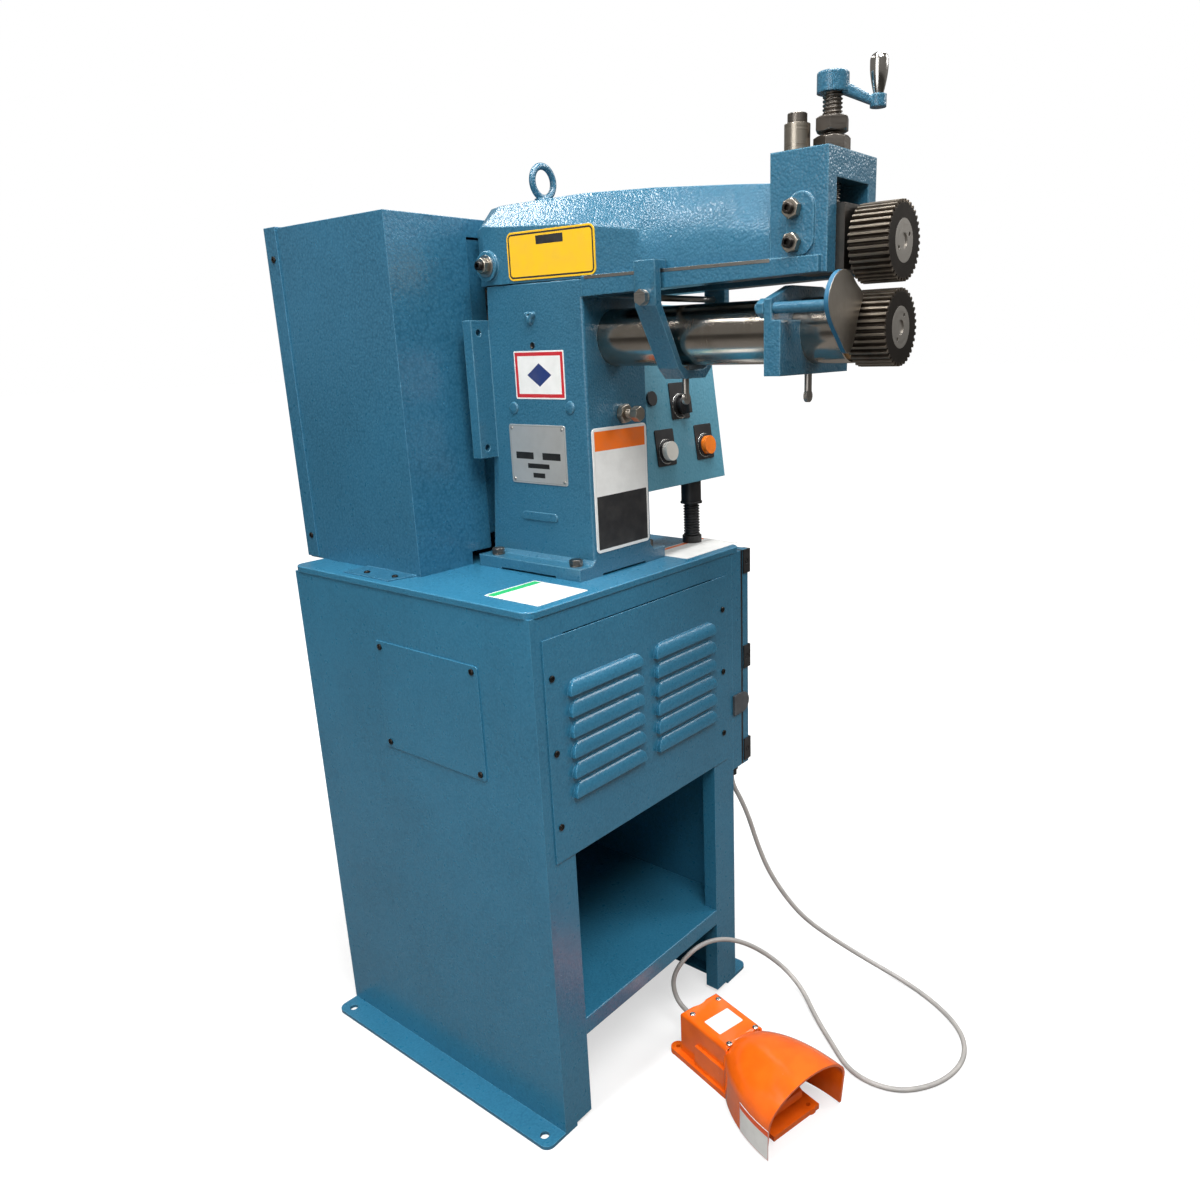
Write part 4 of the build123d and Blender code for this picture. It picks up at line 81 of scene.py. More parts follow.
MIDDLE = 0.024  # x of the shafts, the rolls and the screw
SCREW = (MIDDLE, -0.541)  # x and y of the crank's screw
ROLL_HEIGHTS = (1.2326, 1.142)  # axes of the upper and the lower roll
ROLL_ROOT, ROLL_TIP = 0.0375, 0.0424  # radii of the rolls' teeth
BORE_RADIUS, BORE_FLOOR = 0.0113, 0.0005  # clearance bore for the screw
HEAD_RADIUS, HEAD_HEIGHT = 0.0046, 0.0027  # pan-head screws
HALVES = {  # half width and half height of each plate and sticker
    "plate_yellow": (0.0775, 0.03125),
    "plate_metal": (0.0565, 0.0425),
    "plate_front": (0.0595, 0.088),
    "sticker_green": (0.048, 0.052),
    "sticker_white": (0.0725, 0.04),
    "sticker_lozenge": (0.049, 0.033),
    "sticker_foot": (0.025, 0.019),
    "sticker_side": (0.034, 0.026),
}


class Axis(Enum):
    """Direction of the tool marks on a metal."""

    Y = (0.0, 1.0, 0.0)
    Z = (0.0, 0.0, 1.0)


class Shader:
    """A material under construction, with short names for its nodes.

    Attributes:
        ROUGHNESS: How much of each octave of noise stays in the next.
        SAMPLES: Rays that find an edge near a point.
    """

    ROUGHNESS = 0.55
    SAMPLES = 4

    def __init__(self, name: str) -> None:
        """Starts an empty material.

        Args:
            name: The finish's name.
        """
        self.material = bpy.data.materials.new(name)
        self.material.use_nodes = True
        self.tree = self.material.node_tree
        self.tree.nodes.clear()
        self.output = self.tree.nodes.new("ShaderNodeOutputMaterial")

    def node(self, kind: str, inputs: dict[str, object] | None = None, **settings: object) -> bpy.types.Node:
        """Adds a node.

        Args:
            kind: The node's type without its ShaderNode prefix.
            inputs: Values or sockets for its inputs, by input name.
            settings: The node's own settings.

        Returns:
            The new node.
        """
        made = self.tree.nodes.new("ShaderNode" + kind)
        for key, value in settings.items():
            setattr(made, key, value)
        for key, value in (inputs or {}).items():
            self.feed(made.inputs[key], value)
        return made

    def feed(self, target: Socket, value: object) -> None:
        """Sets an input to a value, or links a socket to it."""
        if isinstance(value, bpy.types.NodeSocket):
            self.tree.links.new(value, target)
        elif isinstance(value, tuple) and len(value) == 3 and target.type == "RGBA":
            target.default_value = (*value, 1.0)
        else:
            target.default_value = value

    def place(self) -> Socket:
        """Returns the Object coordinates, in metres."""
        return self.node("TexCoord").outputs["Object"]

    def chart(self) -> Socket:
        """Returns the piece's own UV map, in metres."""
        return self.node("UVMap", uv_map="chart").outputs["UV"]

    def math(self, operation: str, first: object, second: object = 0.0) -> Socket:
        """Returns a Math node's result.

        Args:
            operation: The operation's name.
            first: First operand, a number or a socket.
            second: Second operand.

        Returns:
            The result's socket.
        """
        made = self.node("Math", operation=operation)
        self.feed(made.inputs[0], first)
        self.feed(made.inputs[1], second)
        return made.outputs[0]

    def minus(self, first: object, second: object) -> Socket:
        """Returns first - second."""
        return self.math("SUBTRACT", first, second)

    def times(self, first: object, second: object) -> Socket:
        """Returns first * second."""
        return self.math("MULTIPLY", first, second)

    def total(self, first: object, second: object, share: float) -> Socket:
        """Returns first + share * second."""
        return self.math("ADD", first, self.times(second, share))

    def far(self, first: Socket, second: object = 0.0) -> Socket:
        """Returns |first - second|."""
        return self.math("ABSOLUTE", self.minus(first, second) if second else first)

    def hypotenuse(self, first: Socket, second: Socket) -> Socket:
        """Returns sqrt(first^2 + second^2)."""
        return self.math("SQRT", self.math("ADD", self.times(first, first), self.times(second, second)))

    def parts(self, vector: Socket) -> bpy.types.NodeOutputs:
        """Returns the X, Y and Z of a vector."""
        return self.node("SeparateXYZ", {"Vector": vector}).outputs

    def span(self, value: Socket, low: float, high: float, start: float = 0.0, end: float = 1.0) -> Socket:
        """Maps a range of a value to another range, with both ends held.

        Args:
            value: The input.
            low: Input that gives start.
            high: Input that gives end.
            start: Output at low.
            end: Output at high.

        Returns:
            The mapped value.
        """
        limits = {"Value": value, "From Min": low, "From Max": high, "To Min": start, "To Max": end}
        return self.node("MapRange", limits).outputs["Result"]

    def blend(self, amount: Socket, first: object, second: object) -> Socket:
        """Mixes two colours.

        Args:
            amount: Share of the second colour.
            first: First colour, a tuple or a socket.
            second: Second colour.

        Returns:
            The mixed colour.
        """
        made = self.node("Mix", data_type="RGBA")
        self.feed(made.inputs["Factor"], amount)
        self.feed(made.inputs["A"], first)
        self.feed(made.inputs["B"], second)
        return made.outputs["Result"]

    def noise(self, vector: Socket, size: float, detail: float = 2.0, stretch: Point = (1, 1, 1)) -> Socket:
        """Returns fractal noise from 0 to 1.

        Args:
            vector: Coordinates in metres.
            size: Length of its largest features, in metres.
            detail: Octaves.
            stretch: Factor on each coordinate: below 1 draws the pattern out along that axis.

        Returns:
            The noise value.
        """
        scaled = self.node("Mapping", {"Vector": vector, "Scale": tuple(stretch)}).outputs["Vector"]
        inputs = {"Vector": scaled, "Scale": 1.0 / size, "Detail": detail, "Roughness": self.ROUGHNESS}
        return self.node("TexNoise", inputs).outputs["Fac"]

    def cells(self, vector: Socket, size: float) -> Socket:
        """Returns the distance to the nearest cell centre, in cells.

        Args:
            vector: Coordinates in metres.
            size: Cell size in metres.

        Returns:
            The distance value.
        """
        inputs = {"Vector": vector, "Scale": 1.0 / size}
        return self.node("TexVoronoi", inputs, feature="F1").outputs["Distance"]

    def relief(self, height: Socket, depth: float, below: Socket | None = None) -> Socket:
        """Turns a height from 0 to 1 into a normal.

        Args:
            height: The height pattern.
            depth: Its depth in metres.
            below: A normal to build on.

        Returns:
            The normal.
        """
        made = self.node("Bump", {"Height": height, "Strength": 1.0, "Distance": depth})
        if below is not None:
            self.feed(made.inputs["Normal"], below)
        return made.outputs["Normal"]

    def eased(self, radius: float) -> Socket:
        """Returns a normal that rounds the edges of a piece by a radius in metres."""
        return self.node("Bevel", {"Radius": radius}, samples=self.SAMPLES).outputs["Normal"]

    def surface(self, colour: Socket, rough: Socket, normal: Socket, **others: object) -> bpy.types.Material:
        """Closes the material with its surface.

        Args:
            colour: Its base colour.
            rough: Its roughness.
            normal: Its normal.
            others: Its other inputs, by name with _ for each space.

        Returns:
            The finished material.
        """
        inputs = {name.replace("_", " "): value for name, value in others.items()}
        inputs |= {"Base Color": colour, "Roughness": rough, "Normal": normal}
        made = self.node("BsdfPrincipled", inputs)
        self.tree.links.new(made.outputs["BSDF"], self.output.inputs["Surface"])
        return self.material


@dataclass(frozen=True)
class Hammertone:
    """Blue enamel with a hammered skin that catches the light in small flecks.

    Attributes:
        name: Finish name.
        shade: Colour in the hollows.
        fleck: Colour on the crowns; a lighter copy of it is the painted highlight on the edges.
        grain: Size of one hammered cell, in metres.
        depth: Depth of the cells, in metres.
        edge: Radius that the paint gives to edges, in metres.
        lumps: Depth of the casting's own unevenness, in metres.
        contrast: Share of the fleck colour on a crown.
        gloss: Weight of the clear gloss.
        DRAWN: Size of the noise that draws cells together, in cells.
        DRIFT: Size of the broad drift in colour, in metres.
        DEEPER: Brightness of the drift's dark end.
        HIGHLIGHT_PATCH: Size of the patches that break up the painted highlight on the edges, in metres.
        LUMP: Size of a casting's lumps, in metres.
    """

    DRAWN = 2.6
    DRIFT = 0.14
    DEEPER = 0.82
    HIGHLIGHT_PATCH = 0.02
    LUMP = 0.022

    name: str
    shade: Colour
    fleck: Colour
    grain: float
    depth: float
    edge: float = 0.0012
    lumps: float = 0.0
    contrast: float = 0.4
    gloss: float = 0.3

    def material(self) -> bpy.types.Material:
        """Returns the enamel: colour follows the crowns and a broad drift, with a painted highlight on the
        edges.
        """
        shader = Shader(self.name)
        place = shader.place()
        cell = shader.cells(place, self.grain)
        fine = shader.noise(place, self.grain * self.DRAWN, 3.0)
        crown = shader.span(shader.total(cell, fine, 0.55), 0.3, 1.3, 1.0, 0.0)
        drift = shader.span(shader.noise(place, self.DRIFT, 2.0), 0.3, 0.7)
        base = shader.blend(drift, tuple(c * self.DEEPER for c in self.shade), self.shade)
        colour = shader.blend(shader.times(crown, self.contrast), base, self.fleck)
        normal = shader.eased(self.edge)
        # Painted highlight: edges, found where the eased normal leans from the true normal, are blended in
        # patches towards a lighter copy of the fleck colour
        flat = shader.node("NewGeometry").outputs["True Normal"]
        lean = shader.node("VectorMath", {0: normal, 1: flat}, operation="DOT_PRODUCT").outputs["Value"]
        worn = shader.span(shader.noise(place, self.HIGHLIGHT_PATCH, 4.0), 0.3, 0.6, 0.35, 0.8)
        thin = shader.times(shader.span(lean, 0.86, 0.985, 1.0, 0.0), worn)
        colour = shader.blend(thin, colour, tuple(min(1.0, c * 1.5 + 0.03) for c in self.fleck))
        if self.lumps:
            normal = shader.relief(shader.noise(place, self.LUMP, 2.0), self.lumps, normal)
        normal = shader.relief(crown, self.depth, normal)
        rough = shader.span(fine, 0.3, 0.75, 0.26, 0.4)
        coat = {"Coat_Weight": self.gloss, "Coat_Roughness": 0.1, "Coat_Normal": normal}
        return shader.surface(colour, rough, normal, **coat)


@dataclass(frozen=True)
class Steel:
    """Bare or plated steel, turned, ground or brushed.

    Attributes:
        name: Finish name.
        colour: Reflection colour.
        roughness: Middle roughness.
        lay: Axis that the tool marks run round or along.
        streak: Width of the tool marks, in metres.
        stain: Colour of the faint film that dulls it in places.
        stain_share: Strength of that film.
        faced: Whether the face across Y carries turning rings instead of straight marks.
        DRAW: Factor on the noise's other two coordinates, which draws the marks out.
    """

    DRAW = 0.02

    name: str
    colour: Colour
    roughness: float
    lay: Axis = Axis.Y
    streak: float = 0.0006
    stain: Colour = (0.16, 0.12, 0.09)
    stain_share: float = 0.25
    faced: bool = False

    def rings(self, shader: Shader, place: Socket) -> Socket:
        """Returns noise over the distance from the nearer roll's axis: z is folded at their middle."""
        parts = shader.parts(place)
        across = shader.minus(parts["X"], MIDDLE)
        fold, half = sum(ROLL_HEIGHTS) / 2, (ROLL_HEIGHTS[0] - ROLL_HEIGHTS[1]) / 2
        beyond = shader.far(parts["Z"], fold)
        reach = shader.hypotenuse(across, shader.minus(beyond, half))
        turning = shader.node("CombineXYZ", {"X": reach, "Y": parts["Y"]}).outputs["Vector"]
        return shader.noise(turning, self.streak, 2.0)

    def material(self) -> bpy.types.Material:
        """Returns the metal: marks are noise squeezed along the lay, the film is broad noise."""
        shader = Shader(self.name)
        place = shader.place()
        straight = tuple(1.0 if share else self.DRAW for share in self.lay.value)
        marks = self.rings(shader, place) if self.faced else shader.noise(place, self.streak, 2.0, straight)
        film = shader.span(shader.noise(place, 0.03, 4.0), 0.42, 0.72, 0.0, self.stain_share)
        colour = shader.blend(film, self.colour, self.stain)
        low, high = self.roughness * 0.75, min(1.0, self.roughness * 1.35)
        rough = shader.total(shader.span(marks, 0.25, 0.75, low, high), film, 0.3)
        normal = shader.relief(marks, 0.00001 + self.streak * 0.02, shader.eased(0.0005))
        return shader.surface(colour, rough, normal, Metallic=1.0)


@dataclass(frozen=True)
class FacedPlate:
    """A plate painted all over but for its bare, brushed front.

    Attributes:
        name: Finish name.
        front: Y of the bare face, in metres.
        metal: Colour of the bare steel.
        paint: Colour of the enamel.
    """

    name: str
    front: float
    metal: Colour
    paint: Colour

    def material(self) -> bpy.types.Material:
        """Returns the plate: bare where y is below the front plane, with marks drawn out along z."""
        shader = Shader(self.name)
        place = shader.place()
        bare = shader.math("LESS_THAN", shader.parts(place)["Y"], self.front)
        marks = shader.noise(place, 0.0008, 3.0, (1, 1, 0.04))
        film = shader.span(shader.noise(place, 0.022, 4.0), 0.35, 0.7, 0.0, 0.4)
        steel = shader.blend(film, self.metal, tuple(c * 0.55 for c in self.metal))
        peel = shader.noise(place, 0.004, 2.0)
        colour = shader.blend(bare, self.paint, steel)
        rough = shader.total(shader.span(marks, 0.3, 0.7, 0.3, 0.44), film, 0.15)
        normal = shader.relief(marks, 0.00002, shader.relief(peel, 0.00006, shader.eased(0.001)))
        return shader.surface(colour, rough, normal, Metallic=bare)


@dataclass(frozen=True)
class RollSteel:
    """Oiled brown-black tool steel whose tooth tips are worn lighter.

    Attributes:
        name: Finish name.
        height: Height of the roll's axis, in metres.
        dry: Colour of the flanks.
        oiled: Colour under an oil film.
        gap: Colour between the teeth.
        worn: Colour of the tips.
    """

    name: str
    height: float
    dry: Colour = (0.075, 0.06, 0.046)
    oiled: Colour = (0.12, 0.098, 0.076)
    gap: Colour = (0.022, 0.017, 0.013)
    worn: Colour = (0.24, 0.21, 0.17)

    def material(self) -> bpy.types.Material:
        """Returns the steel: brightness follows the distance from the roll's axis."""
        shader = Shader(self.name)
        place = shader.place()
        parts = shader.parts(place)
        across = shader.minus(parts["X"], MIDDLE)
        radius = shader.hypotenuse(across, shader.minus(parts["Z"], self.height))
        wear = shader.span(radius, ROLL_TIP - 0.0007, ROLL_TIP - 0.0001)
        oil = shader.span(shader.noise(place, 0.012, 4.0), 0.35, 0.7)
        depth = shader.span(radius, ROLL_ROOT, ROLL_TIP - 0.0012)
        flank = shader.blend(depth, self.gap, shader.blend(oil, self.dry, self.oiled))
        colour = shader.blend(shader.times(wear, 0.6), flank, self.worn)
        turning = shader.node("CombineXYZ", {"X": radius, "Y": parts["Y"]}).outputs["Vector"]
        rough = shader.span(oil, 0.0, 1.0, 0.36, 0.52)
        grain = shader.relief(shader.noise(place, 0.0012, 3.0), 0.00003, shader.eased(0.0005))
        normal = shader.relief(shader.noise(turning, 0.0007, 2.0), 0.00003, grain)
        return shader.surface(colour, rough, normal, Metallic=0.85)


@dataclass(frozen=True)
class Enamel:
    """Smooth glossy enamel or moulded plastic.

    Attributes:
        name: Finish name.
        colour: Main colour.
        shade: Colour of its slight unevenness.
        roughness: Surface roughness.
        peel: Depth of the orange peel, in metres.
        grain: Size of the orange peel, in metres.
        coat: Weight of the clear gloss.
    """

    name: str
    colour: Colour
    shade: Colour
    roughness: float = 0.3
    peel: float = 0.00003
    grain: float = 0.004
    coat: float = 0.0

    def material(self) -> bpy.types.Material:
        """Returns the enamel: a broad drift between two colours, sparse scuffs and orange peel."""
        shader = Shader(self.name)
        place = shader.place()
        broad = shader.span(shader.noise(place, 0.03, 3.0), 0.35, 0.7)
        peel = shader.noise(place, self.grain, 2.0)
        scuff = shader.span(shader.noise(place, 0.006, 5.0, (1, 0.35, 1)), 0.68, 0.8, 0.0, 0.3)
        colour = shader.blend(broad, self.colour, self.shade)
        colour = shader.blend(scuff, colour, tuple(c * 0.6 + 0.12 for c in self.colour))
        even = shader.span(peel, 0.3, 0.7, self.roughness * 0.85, self.roughness * 1.2)
        rough = shader.total(even, scuff, 0.4)
        normal = shader.relief(peel, self.peel, shader.eased(0.0008))
        return shader.surface(colour, rough, normal, Coat_Weight=self.coat, Coat_Roughness=0.06)


class Motif(Enum):
    """The bare mark in the middle of a plate."""

    NONE = 0
    LOZENGE = 1


@dataclass(frozen=True)
class Plate:
    """A bare plate or sticker with plain fields of colour, drawn on its own UV map in metres.

    Attributes:
        name: Finish name.
        paper: Field colour.
        line: Colour of the border.
        inset: Distance of the border from the edge, in metres.
        width: Width of the border line, in metres.
        header: Colour of the top band.
        header_share: Height of the top band, as a share of the plate.
        block: Colour of the bottom field.
        block_share: Height of the bottom field, as a share of the plate.
        bars: Bare dark bars, each as middle u, middle v, half width and half height in metres.
        motif: Mark in the middle.
        motif_size: Its half size, in metres.
        metallic: Metal share.
        corner: Corner radius that the border follows, in metres.
        SOIL: Colour of the faint film of dirt.
        MARK: Colour of the motif.
        ROUGHNESS: Surface roughness.
    """

    SOIL = (0.2, 0.19, 0.17)
    MARK = (0.02, 0.04, 0.16)
    ROUGHNESS = 0.35

    name: str
    paper: Colour
    line: Colour
    inset: float = 0.002
    width: float = 0.0008
    header: Colour = (1.0, 1.0, 1.0)
    header_share: float = 0.0
    block: Colour = (0.0, 0.0, 0.0)
    block_share: float = 0.0
    bars: tuple[tuple[float, float, float, float], ...] = ()
    motif: Motif = Motif.NONE
    motif_size: float = 0.01
    metallic: float = 0.0
    corner: float = 0.0

    def material(self) -> bpy.types.Material:
        """Returns the plate: bands by height, a border by distance from the rim, a motif by distance."""
        shader = Shader(self.name)
        chart = shader.parts(shader.chart())
        wide, high = HALVES[self.name]
        side, top = (shader.far(chart[name]) for name in "XY")
        rim = shader.math("MINIMUM", shader.minus(wide, side), shader.minus(high, top))
        if self.corner:
            past = [
                shader.math("MAXIMUM", shader.minus(value, limit - self.corner), 0.0)
                for value, limit in ((side, wide), (top, high))
            ]
            rounded = shader.minus(self.corner, shader.hypotenuse(*past))
            rim = shader.math("MINIMUM", rounded, rim)
        field_in = shader.math("GREATER_THAN", rim, self.inset + self.width)
        colour: object = self.paper
        for test, share, sign, tint in (
            ("GREATER_THAN", self.header_share, 1, self.header),
            ("LESS_THAN", self.block_share, -1, self.block),
        ):
            if share:
                band = shader.math(test, chart["Y"], sign * high * (1 - 2 * share))
                colour = shader.blend(shader.times(band, field_in), colour, tint)
        for u, v, half_width, half_height in self.bars:
            past = [
                shader.minus(shader.far(chart[name], middle), half)
                for name, middle, half in (("X", u, half_width), ("Y", v, half_height))
            ]
            inside = shader.math("LESS_THAN", shader.math("MAXIMUM", *past), 0.0)
            colour = shader.blend(inside, colour, self.block)
        if self.motif is Motif.LOZENGE:
            reach = shader.total(top, side, high / wide)
            colour = shader.blend(shader.math("LESS_THAN", reach, self.motif_size), colour, self.MARK)
        within = shader.math("GREATER_THAN", rim, self.inset)
        border = shader.times(within, shader.math("LESS_THAN", rim, self.inset + self.width))
        colour = shader.blend(border, colour, self.line)
        place = shader.place()
        film = shader.span(shader.noise(place, 0.02, 4.0), 0.4, 0.8, 0.0, 0.14)
        colour = shader.blend(film, colour, self.SOIL)
        limits = self.ROUGHNESS * 0.8, self.ROUGHNESS * 1.25
        rough = shader.span(shader.noise(place, 0.008, 3.0), 0.3, 0.7, *limits)
        normal = shader.relief(shader.noise(place, 0.003, 2.0), 0.00001)
        return shader.surface(colour, rough, normal, Metallic=self.metallic)


def placed(name: str, data: bpy.types.ID) -> bpy.types.Object:
    """Returns a new object of the scene that holds some data."""
    made = bpy.data.objects.new(name, data)
    bpy.context.scene.collection.objects.link(made)
    return made


def shaded(name: str, mesh: bpy.types.Mesh, crease: float) -> bpy.types.Object:
    """Returns a new object of a mesh, smooth but for its edges sharper than an angle in degrees."""
    mesh.polygons.foreach_set("use_smooth", np.ones(len(mesh.polygons), bool))
    mesh.set_sharp_from_angle(angle=np.radians(crease))
    mesh.update()
    return placed(name, mesh)


def lattice(
    name: str,
    grid: np.ndarray,
    capped: bool = True,
    crease: float = 35.0,
    chart: np.ndarray | None = None,
    loop: bool = False,
) -> bpy.types.Object:
    """Makes a closed skin from a grid of points whose columns run round the piece.

    Args:
        name: The piece's name.
        grid: Points as rows along, columns around, and x, y, z in metres.
        capped: Whether fans to the first and last rows' middles close the ends.
        crease: Edges sharper than this angle in degrees stay sharp.
        chart: UV of each point, as rows, columns and u, v.
        loop: Whether the last row joins the first, as in a ring.

    Returns:
        The object, faces outward.
    """
    rows, columns = grid.shape[:2]
    points = [grid.reshape(-1, 3)]
    charts = [np.zeros((rows * columns, 2)) if chart is None else chart.reshape(-1, 2)]
    row, column = np.meshgrid(np.arange(rows if loop else rows - 1), np.arange(columns), indexing="ij")
    after, below = (column + 1) % columns, (row + 1) % rows
    here, there = row * columns, below * columns
    quads = np.stack((here + column, here + after, there + after, there + column), -1).reshape(-1, 4)
    ring = np.arange(columns)
    fans = []
    for line, turn in ((0, False), (rows - 1, True)) if capped and not loop else ():
        middle = sum(len(p) for p in points)
        points.append(grid[line].mean(0, keepdims=True))
        charts.append(charts[0].reshape(rows, columns, 2)[line].mean(0, keepdims=True))
        edge = line * columns + ring
        beyond = line * columns + (ring + 1) % columns
        pair = (edge, beyond) if turn else (beyond, edge)
        fans.append(np.stack((np.full(columns, middle), *pair), -1))
    places, uv = np.concatenate(points), np.concatenate(charts)
    triangles = np.concatenate((quads[:, [0, 1, 2]], quads[:, [0, 2, 3]], *fans))
    low, mid, high = (places[triangles[:, k]] - places.mean(0) for k in range(3))
    if np.einsum("ij,ij->i", low, np.cross(mid, high)).sum() < 0:
        quads, fans = quads[:, ::-1], [fan[:, ::-1] for fan in fans]
    mesh = bpy.data.meshes.new(name)
    mesh.from_pydata(places.tolist(), [], quads.tolist() + [face for fan in fans for face in fan.tolist()])
    loops = np.empty(len(mesh.loops), np.int32)
    mesh.loops.foreach_get("vertex_index", loops)
    mesh.uv_layers.new(name="chart").data.foreach_set("uv", uv[loops].ravel())
    return shaded(name, mesh, crease)


def axes_of(direction: Point) -> np.ndarray:
    """Returns three unit rows: two across a direction and the direction itself."""
    along = np.array(direction, float) / np.linalg.norm(direction)
    helper = np.array((0.0, 0.0, 1.0)) if abs(along[2]) < 0.9 else np.array((0.0, 1.0, 0.0))
    first = np.cross(helper, along)
    first /= np.linalg.norm(first)
    return np.stack((first, np.cross(along, first), along))


def swept(
    name: str,
    reach: np.ndarray,
    radius: np.ndarray,
    origin: Point,
    direction: Point,
    turn: float = 0.0,
    crease: float = 35.0,
    loop: bool = False,
) -> bpy.types.Object:
    """Makes a piece round an axis: point = origin + reach * axis + radius * (cos a, sin a) across it.

    Args:
        name: The piece's name.
        reach: Distance of each row along the axis, in metres.
        radius: Radius of each row and column.
        origin: Where reach is zero.
        direction: The axis.
        turn: Turn about the axis, in degrees.
        crease: Angle in degrees above which an edge stays sharp.
        loop: Whether the rows close on themselves, as in a ring.

    Returns:
        The object.
    """
    across, beside, along = axes_of(direction)
    angle = np.linspace(0, 2 * np.pi, radius.shape[1], endpoint=False) + np.radians(turn)
    circle = np.cos(angle)[:, None] * across + np.sin(angle)[:, None] * beside
    grid = np.array(origin) + reach[:, None, None] * along + radius[..., None] * circle[None]
    return lattice(name, grid, crease=crease, loop=loop)


def turned(
    name: str,
    profile: Sequence[Point],
    origin: Point,
    direction: Point,
    segments: int = 48,
    loop: bool = False,
) -> bpy.types.Object:
    """Makes a turned piece: the radius is the same all round.

    Args:
        name: The piece's name.
        profile: Pairs of distance along the axis and radius, in metres.
        origin: Where that distance is zero.
        direction: The axis.
        segments: Faces around.
        loop: Whether the profile closes on itself, as in a ring.

    Returns:
        The object.
    """
    reach, radius = np.array(profile, float).T
    return swept(name, reach, np.repeat(radius[:, None], segments, 1), origin, direction, loop=loop)


def hexagon_rows(base: float, top: float, flats: float) -> Rows:
    """Returns the rows of a nut or a head whose corners a 30 degree cone cuts at both ends.

    Args:
        base: Where it starts along its axis.
        top: Where it ends.
        flats: Width across flats.

    Returns:
        Rows of reach, half width across flats, and greatest radius.
    """
    half, corner, share = flats / 2, flats / np.sqrt(3), np.linspace(0, 1, 5)
    rim = 0.95 * half
    limits = rim + share * (corner - rim)
    bevel = (corner - rim) * np.tan(np.radians(30)) * share
    low = [(base + rise, half, limit) for rise, limit in zip(bevel, limits)]
    return low + [(top - rise, half, limit) for rise, limit in zip(bevel[::-1], limits[::-1])]


def stud_rows(base: float, top: float, radius: float, pitch: float = 0.00125) -> Rows:
    """Returns the rows of a threaded end: each groove is 0.6 pitch deep, and the tip is chamfered."""
    reach = np.linspace(base, top - 0.6 * pitch, 2 * max(1, round((top - base) / pitch)) + 1)
    radii = np.where(np.arange(len(reach)) % 2, radius - 0.6 * pitch, radius)
    rows = [(z, r, r) for z, r in zip(reach, radii)]
    return rows + [(top, radius - 0.8 * pitch, radius - 0.8 * pitch)]


def socket_rows(top: float, flats: float, depth: float) -> Rows:
    """Returns the rows of a hexagon socket sunk from a flat end."""
    return [(top, flats / 2, flats), (top - depth, flats / 2, flats)]


def washer_rows(radius: float, thickness: float, bevel: float = 0.0) -> Rows:
    """Returns the rows of a washer, with a bevel round its upper edge where one is given."""
    rows = [(0.0, radius, radius), (thickness - bevel, radius, radius)]
    return rows + [(thickness, radius - bevel, radius - bevel)] if bevel else rows


def bore_rows(top: float) -> Rows:
    """Returns the rows that take a clearance bore for the screw down to just above a nut's foot."""
    return [(reach, BORE_RADIUS, BORE_RADIUS) for reach in (top, BORE_FLOOR)]


def fastener(name: str, rows: Rows, origin: Point, direction: Point, turn: float = 0.0) -> bpy.types.Object:
    """Makes a nut, bolt or screw: radius = min(half / cos(a mod 60 degrees - 30 degrees), limit) on each row.

    Args:
        name: The piece's name.
        rows: Reach along the axis, half width across flats, and greatest radius; a round row has both alike.
        origin: Where reach is zero.
        direction: The axis.
        turn: Turn about the axis, in degrees.

    Returns:
        The object.
    """
    angle = np.linspace(0, 2 * np.pi, 72, endpoint=False)
    reach, half, limit = np.array(rows, float).T
    sector = angle % (np.pi / 3) - np.pi / 6
    radius = np.minimum(half[:, None] / np.cos(sector), limit[:, None])
    return swept(name, reach, radius, origin, direction, turn, crease=24.0)


def threaded(
    name: str,
    origin: Point,
    direction: Point,
    length: float,
    radius: float,
    pitch: float,
    depth: float,
    chamfer: float,
) -> bpy.types.Object:
    """Makes a threaded rod: radius falls by depth * |2 frac(along / pitch - angle / 2 pi) - 1|.

    Args:
        name: The piece's name.
        origin: Middle of its first end.
        direction: The axis.
        length: Its length.
        radius: Crest radius.
        pitch: Distance between crests.
        depth: Crest to root.
        chamfer: Length of the lead-in at each end.

    Returns:
        The object.
    """
    angle = np.linspace(0, 2 * np.pi, 48, endpoint=False)
    reach = np.linspace(0, length, int(length / pitch * 8) + 1)
    phase = reach[:, None] / pitch - angle[None] / (2 * np.pi)
    groove = np.clip(1.6 * np.abs(2 * (phase % 1.0) - 1) - 0.3, 0, 1)
    lead = np.clip(np.minimum(reach, length - reach) / chamfer, 0, 1)[:, None]
    ray = radius - depth * np.maximum(groove, 1 - lead)
    return swept(name, reach, ray, origin, direction, crease=60.0)


def slab(
    name: str,
    middle: Point,
    right: Point,
    up: Point,
    half: Point,
    thickness: float,
    corner: float,
) -> bpy.types.Object:
    """Makes a thin plate with rounded corners: outline = sign(circle) * inner box + corner * circle.

    Args:
        name: The piece's name.
        middle: Middle of its back face.
        right: Direction of its width.
        up: Direction of its height.
        half: Half width and half height.
        thickness: Its thickness.
        corner: Corner radius.

    Returns:
        The object, with its UV map in metres from the middle.
    """
    wide, high = half
    angle = np.linspace(0, 2 * np.pi, 64, endpoint=False) + np.pi / 64
    circle = np.stack((np.cos(angle), np.sin(angle)), -1)
    inner = np.array((wide - corner, high - corner))
    outline = np.sign(circle) * inner + corner * circle
    share = np.array((0.02, 0.33, 0.66, 1.0, 1.0, 1.0, 0.02))
    trim = np.array((0.0, 0.0, 0.0, 0.25, 0.0, 0.0, 0.0)) * thickness
    rise = np.array((1.0, 1.0, 1.0, 1.0, 0.75, 0.0, 0.0)) * thickness
    flat = outline[None] * share[:, None, None] - circle[None] * trim[:, None, None]
    right, up = np.array(right, float), np.array(up, float)
    out = np.cross(right, up)
    grid = np.array(middle) + flat[..., :1] * right + flat[..., 1:] * up + rise[:, None, None] * out
    return lattice(name, grid, crease=30.0, chart=flat)


